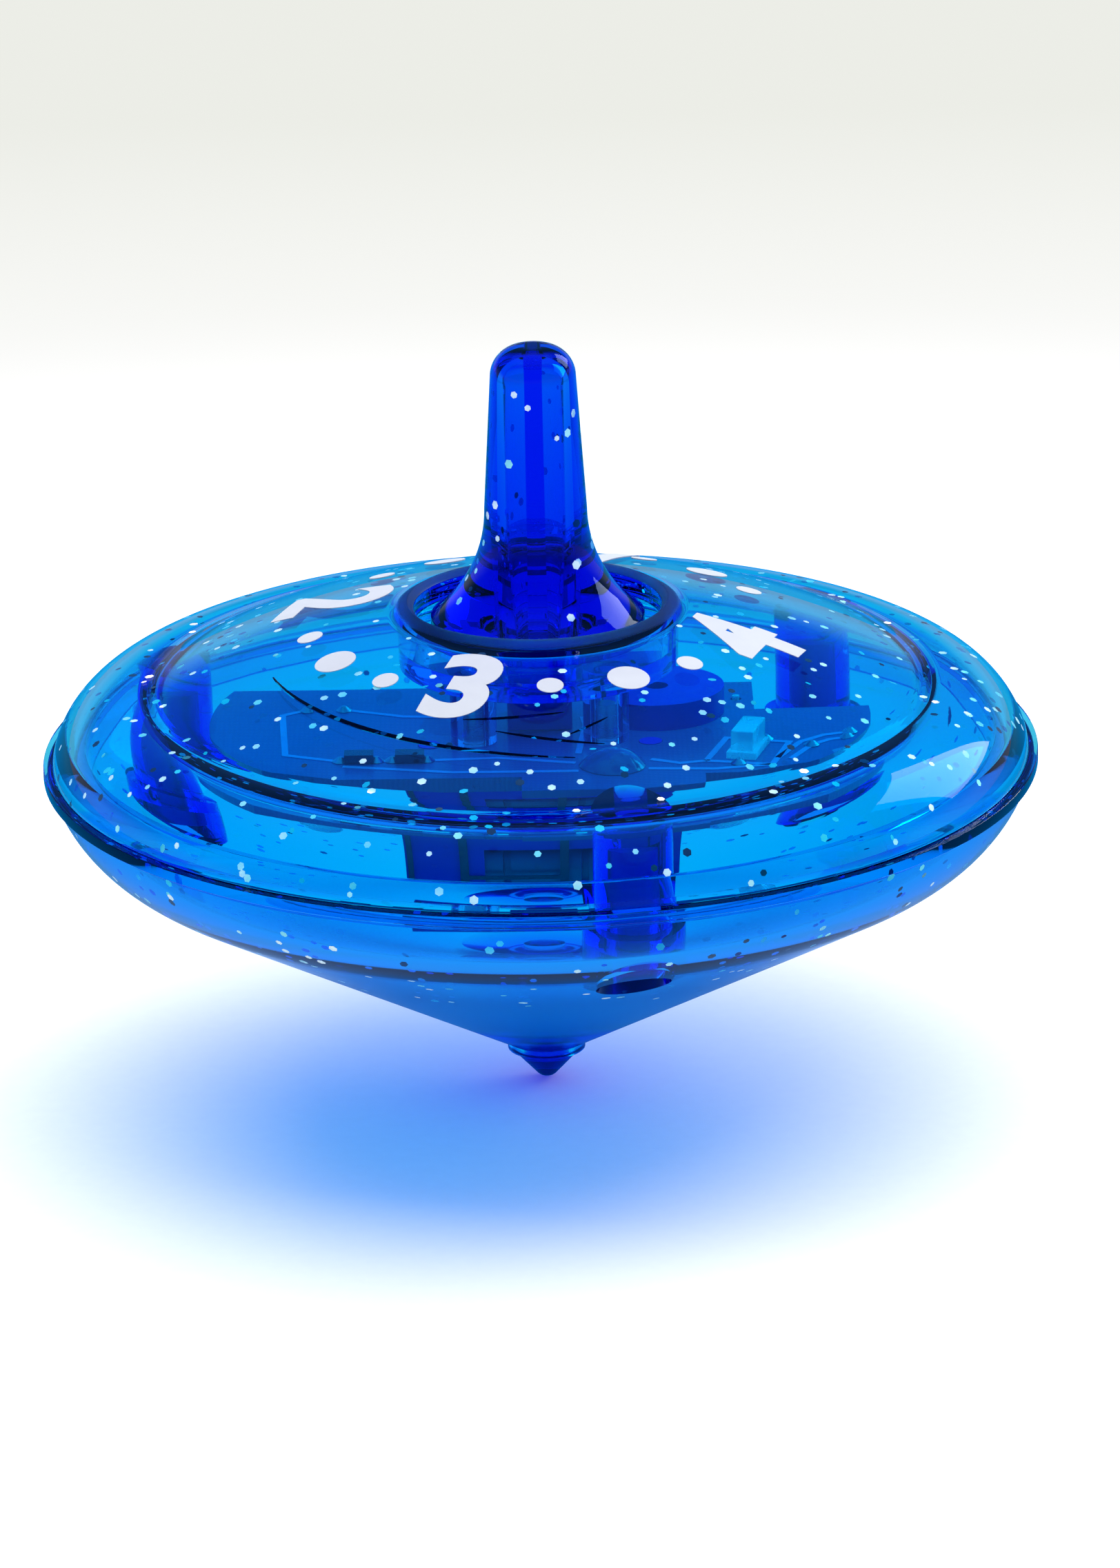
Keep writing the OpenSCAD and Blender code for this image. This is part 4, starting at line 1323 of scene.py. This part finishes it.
@dataclass
class Print:
    """White print on the dome: a plain number and three dots in each quarter."""

    sizes: CaseSizes
    numbers: tuple[str, ...] = ("3", "4", "1", "2")
    first_turn: float = -20.0
    number_r: float = 15.1
    number_h: float = 8.0
    bold: float = 0.035
    dots: tuple[tuple[float, float, float, float], ...] = (
        (14.9, 3.0, 24.5, 44.5), (16.3, 113.6, 132.3, 152.0), (15.6, 185.0, 205.0, 225.0), (16.1, 319.0, 299.0, 278.3))
    small_d: float = 1.85
    large_d: float = 2.95
    thickness: float = 0.04
    clear: float = 0.004
    grid: float = 0.5

    def number(self, text: str) -> Form:
        """Makes a flat number, centred, cut into a grid so that it can be bent.

        Args:
            text: The number.

        Returns:
            Its face in mm.
        """
        curve = bpy.data.curves.new("number", "FONT")
        curve.body, curve.size, curve.offset, curve.resolution_u = text, 1.0, self.bold, 8
        holder = bpy.data.objects.new("number", curve)
        bpy.context.scene.collection.objects.link(holder)
        bpy.context.view_layer.update()
        mesh = bpy.data.meshes.new_from_object(holder.evaluated_get(bpy.context.evaluated_depsgraph_get()))
        bpy.data.objects.remove(holder)
        form = bmesh.new()
        form.from_mesh(mesh)
        bpy.data.meshes.remove(mesh)
        bmesh.ops.remove_doubles(form, verts=form.verts[:], dist=1e-5)
        low = Vector([min(v.co[i] for v in form.verts) for i in range(3)])
        high = Vector([max(v.co[i] for v in form.verts) for i in range(3)])
        scale = self.number_h / (high.y - low.y)
        for vert in form.verts:
            vert.co = (vert.co - (low + high) / 2) * scale
        reach = (high - low) * scale / 2
        for axis in range(2):
            side = Vector((1.0, 0.0, 0.0)) if axis == 0 else Vector((0.0, 1.0, 0.0))
            for i in range(-int(reach[axis] / self.grid), int(reach[axis] / self.grid) + 1):
                parts = form.verts[:] + form.edges[:] + form.faces[:]
                bmesh.ops.bisect_plane(form, geom=parts, plane_co=side * self.grid * i, plane_no=side)
        return form

    def lay(self, form: Form, turn: float) -> Form:
        """Bends a flat number to the dome and gives it a thickness.

        Args:
            form: The flat number in mm.
            turn: Its turn to the right of the front, in degrees.

        Returns:
            The same form, closed, in metres.
        """
        s = self.sizes
        t = math.radians(turn)
        out, along = Vector((math.sin(t), -math.cos(t))), Vector((math.cos(t), math.sin(t)))
        centre = Vector((0.0, 0.0, s.cap_c))
        top = bmesh.ops.extrude_face_region(form, geom=form.faces[:], use_keep_orig=True)["geom"]
        raised = {v for v in top if isinstance(v, bmesh.types.BMVert)}
        for vert in form.verts:
            spot = out * (self.number_r - vert.co.y) + along * vert.co.x
            skin = Vector((spot.x, spot.y, s.cap_z(spot.length)))
            lift = self.clear + (self.thickness if vert in raised else 0.0)
            vert.co = (skin + (skin - centre).normalized() * lift) * MM
        return form

    def build(self) -> None:
        """Builds the numbers and the dots."""
        s = self.sizes
        turns = [self.first_turn + 90.0 * i for i in range(len(self.numbers))]
        numbers = settle("print_numbers", gather([self.lay(self.number(n), t) for n, t in zip(self.numbers, turns)]))
        shade(numbers, Finishes.INK)
        base = bmesh.new()
        size = base.verts.layers.float.new("radius")
        for radius, *places in self.dots:
            for i, turn in enumerate(places):
                spot = base.verts.new(Vector((*swing(radius, math.radians(turn)), s.cap_z(radius))) * MM)
                spot[size] = (self.large_d if i == 1 else self.small_d) / 2 * MM
        dots = DotTree().grow("print_dots", base, {
            "Sphere Centre": (0.0, 0.0, s.cap_c * MM), "Sphere Radius": s.cap_sphere_r * MM,
            "Thickness": self.thickness * MM, "Material": Finishes.INK.material()})
        seat(numbers, Body.CASE)
        seat(dots, Body.CASE)


@dataclass
class LampBoard:
    """What is set on the board and the box: tracks, solder, the sealing drop, the block lamp and the box's bars."""

    sizes: CaseSizes
    track_w: float = 0.45
    track_t: float = 0.035
    tracks: tuple[tuple[Point, ...], ...] = (
        ((11.4, -9.8), (12.9, -4.9), (17.2, -6.2), (15.9, -11.0), (11.4, -9.8)),
        ((16.3, -9.6), (18.0, -6.2), (19.6, -4.9), (21.4, -4.4)),
        ((17.2, -9.9), (18.7, -7.0), (20.0, -5.9), (21.2, -5.6)),
        ((7.6, -9.2), (9.6, -10.2), (11.4, -9.8)),
        ((7.4, -11.2), (12.0, -11.6), (15.9, -11.0)),
        ((2.4, -9.6), (-3.0, -8.2), (-7.8, -8.5)),
        ((2.6, -11.4), (-6.0, -11.2), (-13.6, -9.6)),
        ((-10.2, -8.5), (-11.3, -8.5)),
        ((-13.8, -8.5), (-17.6, -7.0), (-18.0, 2.0), (-16.6, 3.0)),
        ((-13.4, 3.0), (-9.6, 1.4), (-3.0, 0.8)),
        ((3.0, 0.6), (3.2, -1.4), (2.6, -7.6)),
    )
    pads: tuple[Point, ...] = (
        (21.4, -4.4), (13.6, -10.5), (21.2, -5.6), (18.7, -7.0), (-10.2, -8.5), (-7.8, -8.5), (-11.3, -8.5),
        (-13.8, -8.5), (-13.73, 3.0), (-16.27, 3.0), (15.6, -5.4), (10.8, 4.9),
    )
    chip_at: Point = (5.0, -10.2)
    chip_d: float = 4.8
    chip_h: float = 1.1
    chip_waves: tuple[tuple[float, int, float], ...] = ((0.02, 3, 0.7), (0.012, 5, 0.0))
    lamp_at: Point = (14.3, -8.0)
    lamp_turn: float = -16.0
    lamp_size: Triple = (1.6, 3.4, 1.9)
    lamp_base: Triple = (2.1, 3.9, 0.5)
    lamp_bevels: Point = (0.06, 0.1)
    lamp_sunk: float = 0.01
    track_gap: float = 0.002
    pad_r: float = 0.55
    pad_h: float = 0.3
    box_face_y: float = -6.85
    box_gap: float = 0.01
    frame_rise: float = 0.25
    frame_bars: tuple[tuple[float, float, float, float], ...] = (
        (-5.7, 12.0, -5.1, 24.6), (1.2, 12.0, 1.8, 24.6), (-5.1, 17.9, 1.2, 18.3), (-9.3, 12.0, -8.9, 24.6))

    def box_frame(self) -> None:
        """Builds the dark bars moulded on the front of the battery box."""
        face = self.box_face_y - self.box_gap
        front = face - self.frame_rise
        bars = [block((x, front, low), (right, face, high)) for x, low, right, high in self.frame_bars]
        seat(shade(settle("box_frame", gather(bars)), Finishes.RESIN), Body.CASE)

    def ribbons(self) -> None:
        """Builds the tracks as thin ribbons on the board."""
        low = self.sizes.board_top + self.track_gap
        high = low + self.track_t
        ribbons = []
        for track in self.tracks:
            points = [Vector(p) for p in track]
            rings = []
            for i, here in enumerate(points):
                back = (here - points[i - 1]).normalized() if i else (points[1] - here).normalized()
                ahead = (points[i + 1] - here).normalized() if i + 1 < len(points) else back
                across = (back + ahead).normalized()
                half = self.track_w / 2 / max(across.dot(back), 0.5)
                off = Vector((-across.y, across.x)) * half
                left, right = here + off, here - off
                rings.append([(*left, low), (*right, low), (*right, high), (*left, high)])
            ribbons.append(loft(rings))
        piece = settle("board_tracks", gather(ribbons))
        seat(shade(piece, Finishes.COPPER), Body.CASE)

    def solder(self) -> None:
        """Builds the solder fillets."""
        base = bmesh.new()
        for x, y in self.pads:
            base.verts.new((x * MM, y * MM, (self.sizes.board_top + self.sizes.board_gap) * MM))
        piece = SolderTree().grow("board_solder", base, {
            "Pad Radius": self.pad_r * MM, "Height": self.pad_h * MM, "Material": Finishes.SOLDER.material()})
        seat(piece, Body.CASE)

    def drop(self) -> None:
        """Builds the sealing drop, a little uneven where it ran."""
        top = self.sizes.board_top + self.sizes.board_gap
        ball = ((self.chip_d / 2) ** 2 + self.chip_h ** 2) / (2 * self.chip_h)
        edge = math.degrees(math.asin((ball - self.chip_h) / ball))
        points = arc((0.0, top + self.chip_h - ball), ball, edge, 90.0, 16)
        points[-1] = (0.0, top + self.chip_h)
        form = lathe([(0.0, top)] + points, segments=64)
        for vert in form.verts:
            turn = math.atan2(vert.co.y, vert.co.x)
            swell = 1.0 - sum(size * (1 + math.cos(n * turn + phase)) for size, n, phase in self.chip_waves)
            vert.co.xy = vert.co.xy * swell + Vector(self.chip_at) * MM
        piece = shade(settle("chip_drop", form), Finishes.DROP)
        seat(piece, Body.CASE, ["chip_cover"])

    def lamp(self) -> None:
        """Builds the block lamp: a base and a long lens with softened edges."""
        x, y = self.lamp_at
        low = self.sizes.board_top + self.sizes.board_gap
        base, size = self.lamp_base, self.lamp_size
        step = low + base[2]
        foot = block((-base[0] / 2, -base[1] / 2, low), (base[0] / 2, base[1] / 2, step))
        lens = block((-size[0] / 2, -size[1] / 2, step - self.lamp_sunk), (size[0] / 2, size[1] / 2, low + size[2]))
        turn = Matrix.Translation((x * MM, y * MM, 0.0)) @ Matrix.Rotation(math.radians(self.lamp_turn), 4, "Z")
        for form, width in zip((foot, lens), self.lamp_bevels):
            form.transform(turn)
            bmesh.ops.bevel(form, geom=form.edges[:], offset=width * MM, segments=3, affect="EDGES", profile=0.5)
        piece = shade(settle("block_lamp", gather([foot, lens])), Finishes.LENS)
        seat(piece, Body.CASE, ["upper_lamp"])

    def build(self) -> None:
        """Builds every piece on the board and the box."""
        self.ribbons()
        self.solder()
        self.drop()
        self.lamp()
        self.box_frame()


@dataclass
class InnerPieces:
    """Solids of the frame that keep their shape and get a finish, and a copy of the snap dome."""

    finishes: dict[str, Finish] = field(default_factory=lambda: {
        "stem_clip": Finishes.STEEL, "case_screws": Finishes.SCREW, "board_screws": Finishes.STEEL,
        "switch_cover": Finishes.STEEL, "front_contact": Finishes.STEEL, "end_contact": Finishes.STEEL,
        "circuit_board": Finishes.MASK, "resistors": Finishes.RESIN, "switch_body": Finishes.MOULDING,
        "switch_plunger": Finishes.MOULDING, "buzzer_plate": Finishes.BRASS,
        "left_lamp": Finishes.LENS, "right_lamp": Finishes.LENS, "buzzer_case": Finishes.MOULDING,
        "battery_box": Finishes.MOULDING, "cell_1": Finishes.NICKEL, "cell_2": Finishes.NICKEL,
        "cell_3": Finishes.NICKEL,
    })
    dome_foot_z: float = 26.85
    dome_keep: float = 0.51
    shadowless: tuple[str, ...] = (
        "circuit_board", "battery_box", "cell_1", "cell_2", "cell_3", "buzzer_case", "buzzer_plate", "front_contact",
        "end_contact")

    def build(self) -> None:
        """Dresses the solids and builds the snap dome."""
        for node, finish in self.finishes.items():
            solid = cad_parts[node]
            solid.data.materials.clear()
            solid.data.materials.append(finish.material())
            solid.visible_shadow = node not in self.shadowless
            log.info("%s: %s", node, finish.name)
        self.snap_dome()

    def snap_dome(self) -> None:
        """Builds the switch's spring dome as a copy of its solid that rides on the case."""
        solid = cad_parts["switch_dome"]
        mesh = solid.data.copy()
        mesh.transform(solid.matrix_world)
        piece = bpy.data.objects.new("snap_dome", mesh)
        bpy.context.scene.collection.objects.link(piece)
        seat(shade(piece, Finishes.BRASS), Body.CASE, ["switch_dome"])
        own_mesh(piece)


# Studio


@dataclass
class Studio:
    """Pale floor, soft lamps, the sky round them and the camera."""

    elevation: float = 19.0
    distance: float = 700.0
    aim_z: float = 24.0
    scale: float = 20.6
    aim_px: Point = (784.0, 1096.0)
    image: tuple[int, int] = (1624, 2274)
    roll: float = 1.15
    sensor: float = 36.0
    floor_r: float = 4.0
    near: float = 0.06
    far: float = 0.2
    lift: float = 1.0
    dusk: Stops = ((0.0, WHITE), (0.16, WHITE), (0.2, (0.93, 0.935, 0.91)), (0.26, (0.84, 0.85, 0.8)))
    # Painted reflection: blues by distance from the top that mirror rays see on the floor, in place of the top's blue
    # shadow.
    painted_floor_reflection: Stops = (
        (0.0, (0.0, 0.1, 0.48)), (0.014, (0.04, 0.2, 0.65)), (0.03, (0.3, 0.5, 0.92)), (0.048, (0.12, 0.4, 0.86)),
        (0.075, (0.0, 0.28, 0.78)), (0.2, (0.01, 0.36, 0.86)), (0.4, (0.04, 0.42, 0.86)))
    plain_sky: Stops = (
        (0.0, WHITE), (0.14, WHITE), (0.3, (0.22, 0.22, 0.23)), (0.72, (0.22, 0.22, 0.23)),
        (0.9, (0.6, 0.6, 0.62)), (1.0, (0.6, 0.6, 0.62)))
    # Painted light: a saturated blue sky that only rays through the plastic see.
    painted_glass_sky: Stops = (
        (0.0, WHITE), (0.14, WHITE), (0.28, (0.03, 0.36, 1.0)), (0.72, (0.03, 0.36, 1.0)),
        (0.9, (0.2, 0.5, 0.9)), (1.0, (0.2, 0.5, 0.9)))
    # Painted reflection: greyish blue at the horizon and deep blue above, which only mirror rays see.
    painted_mirror_sky: Stops = (
        (0.0, (0.3, 0.38, 0.56)), (0.1, (0.3, 0.38, 0.56)), (0.24, (0.03, 0.14, 0.42)), (0.72, (0.03, 0.14, 0.42)),
        (0.9, (0.2, 0.4, 0.8)), (1.0, (0.2, 0.4, 0.8)))
    paper: tuple[Colour, Colour] = ((0.9, 0.9, 0.91), (0.94, 0.94, 0.95))
    lamp_aim: Triple = (0.0, 0.0, 0.02)
    bounces: int = 24
    clear_bounces: int = 32

    def camera(self) -> None:
        """Makes the camera at the photograph's angle."""
        e, t = math.radians(self.elevation), math.radians(self.roll)
        side, up = Vector((1, 0, 0)), Vector((0, math.sin(e), math.cos(e)))
        back = Vector((0, -math.cos(e), math.sin(e)))
        right = side * math.cos(t) - up * math.sin(t)
        top = side * math.sin(t) + up * math.cos(t)
        shift = right * (self.image[0] / 2 - self.aim_px[0]) - top * (self.image[1] / 2 - self.aim_px[1])
        place = (Vector((0, 0, self.aim_z)) + back * self.distance + shift / self.scale) * MM
        lens = bpy.data.cameras.new("photo_camera")
        lens.sensor_fit, lens.sensor_height = "VERTICAL", self.sensor
        lens.lens = self.sensor * self.scale * self.distance / self.image[1]
        lens.clip_start, lens.clip_end = 0.01, 50.0
        holder = bpy.data.objects.new("photo_camera", lens)
        bpy.context.scene.collection.objects.link(holder)
        holder.matrix_world = Matrix.Translation(place) @ Matrix((right, top, back)).transposed().to_4x4()
        bpy.context.scene.camera = holder

    def lamp(self, name: str, place: Sequence[float], size: float, power: float, glossy: bool = True) -> None:
        """Makes a square soft lamp that faces the top.

        Args:
            name: Name of the lamp.
            place: Its place in metres.
            size: Its side in metres.
            power: Its power in watts.
            glossy: Whether it shows in reflections.
        """
        light = bpy.data.lights.new(name, "AREA")
        light.shape, light.size, light.energy = "SQUARE", size, power
        holder = bpy.data.objects.new(name, light)
        bpy.context.scene.collection.objects.link(holder)
        away = (Vector(place) - Vector(self.lamp_aim)).normalized()
        holder.matrix_world = Matrix.Translation(place) @ away.to_track_quat("Z", "Y").to_matrix().to_4x4()
        holder.visible_glossy = holder.visible_transmission = glossy

    def floor(self) -> None:
        """Makes the floor: paper near the top and white far from it, greying further back, with a painted reflection
        in set blues that only mirror rays see.
        """
        form = bmesh.new()
        bmesh.ops.create_circle(form, cap_ends=True, segments=96, radius=self.floor_r)
        for face in form.faces:
            if face.normal.z < 0:
                face.normal_flip()
        piece = settle("paper_floor", form, outward=False)
        paper = bpy.data.materials.new("white_paper")
        paper.use_nodes = True
        paper.node_tree.nodes.clear()
        bench = Bench(paper.node_tree)
        grain = bench.noise(900.0, 4.0)
        matt = bench.add("ShaderNodeBsdfDiffuse", {}, {"Color": bench.mix(grain, *self.paper)})
        place = bench.add("ShaderNodeTexCoord").outputs["Object"]
        back = bench.term(bench.add("ShaderNodeSeparateXYZ", {}, {0: place}), "Y")
        dusk = bench.add("ShaderNodeValToRGB", {"stops": self.dusk}, {"Fac": back})
        glow = bench.add("ShaderNodeEmission", {}, {"Color": dusk.outputs[0], "Strength": 1.0})
        reach = bench.term(bench.add("ShaderNodeVectorMath", {"operation": "LENGTH"}, {0: place}), "Value")
        fade = bench.add("ShaderNodeMapRange", {"interpolation_type": "SMOOTHSTEP"}, {
            "Value": reach, "From Min": self.near, "From Max": self.far})
        path = bench.add("ShaderNodeLightPath")
        seen = bench.term(path, "Is Camera Ray") * bench.term(fade)
        # Painted light: seen through the plastic, the floor glows white everywhere, also in the top's shadow.
        through = bench.term(path, "Is Transmission Ray") * bench.term(fade).most(self.lift)
        mixed = bench.add("ShaderNodeMixShader", {}, {0: seen.most(through), 1: matt.outputs[0], 2: glow.outputs[0]})
        # Painted reflection: mirror rays see these set blues instead of the lit paper.
        tone = bench.add("ShaderNodeValToRGB", {"stops": self.painted_floor_reflection}, {"Fac": reach})
        painted_gloss = bench.add("ShaderNodeEmission", {}, {"Color": tone.outputs[0], "Strength": 1.0})
        whole = bench.add("ShaderNodeMixShader", {}, {0: bench.mirror(path), 1: mixed.outputs[0], 2: painted_gloss.outputs[0]})
        bench.add("ShaderNodeOutputMaterial", {}, {"Surface": whole.outputs[0]})
        piece.data.materials.append(paper)

    def sky(self) -> None:
        """Makes the sky: white near the horizon and dim above, with a painted blue sky that only rays through the
        plastic see, painted light, and a painted reflection in blues that only mirror rays see.
        """
        world = bpy.data.worlds.new("studio_sky")
        world.use_nodes = True
        world.node_tree.nodes.clear()
        bench = Bench(world.node_tree)
        way = bench.add("ShaderNodeTexCoord").outputs["Generated"]
        height = bench.term(bench.add("ShaderNodeSeparateXYZ", {}, {0: way}), "Z")
        plain, painted_blue, gleam = (
            bench.add("ShaderNodeValToRGB", {"stops": stops}, {"Fac": height}).outputs[0]
            for stops in (self.plain_sky, self.painted_glass_sky, self.painted_mirror_sky))
        path = bench.add("ShaderNodeLightPath")
        # Rays through the plastic see the painted blue sky: painted light.
        ray_sky = bench.mix(bench.term(path, "Is Transmission Ray"), plain, painted_blue)
        # Mirror rays see the painted mirror sky: a painted reflection.
        ray_sky = bench.mix(bench.mirror(path), ray_sky, gleam)
        light = bench.add("ShaderNodeBackground", {}, {
            "Color": bench.mix(bench.term(path, "Is Camera Ray"), ray_sky, WHITE), "Strength": 1.0})
        bench.add("ShaderNodeOutputWorld", {}, {"Surface": light.outputs[0]})
        bpy.context.scene.world = world

    def build(self) -> None:
        """Sets the stage."""
        scene = bpy.context.scene
        scene.view_settings.view_transform = "Standard"
        scene.cycles.max_bounces = self.bounces
        scene.cycles.transmission_bounces = self.bounces
        scene.cycles.transparent_max_bounces = self.clear_bounces
        self.camera()
        self.floor()
        self.sky()
        self.lamp("top_lamp", (0.12, 0.36, 1.0), 2.0, 31.0, glossy=False)
        self.lamp("right_lamp", (0.7, 0.52, 0.5), 0.5, 2.5)


def main() -> None:
    """Builds the studio and the top, piece by piece."""
    logging.basicConfig(level=logging.INFO, format="%(name)s %(message)s")
    sizes = CaseSizes()
    Studio().build()
    InnerPieces().build()
    LampBoard(sizes).build()
    UpperShell(sizes).build()
    LowerShell(sizes).build()
    Tip(sizes).build()
    Stem().build()
    Print(sizes).build()


if __name__ == "__main__":
    main()
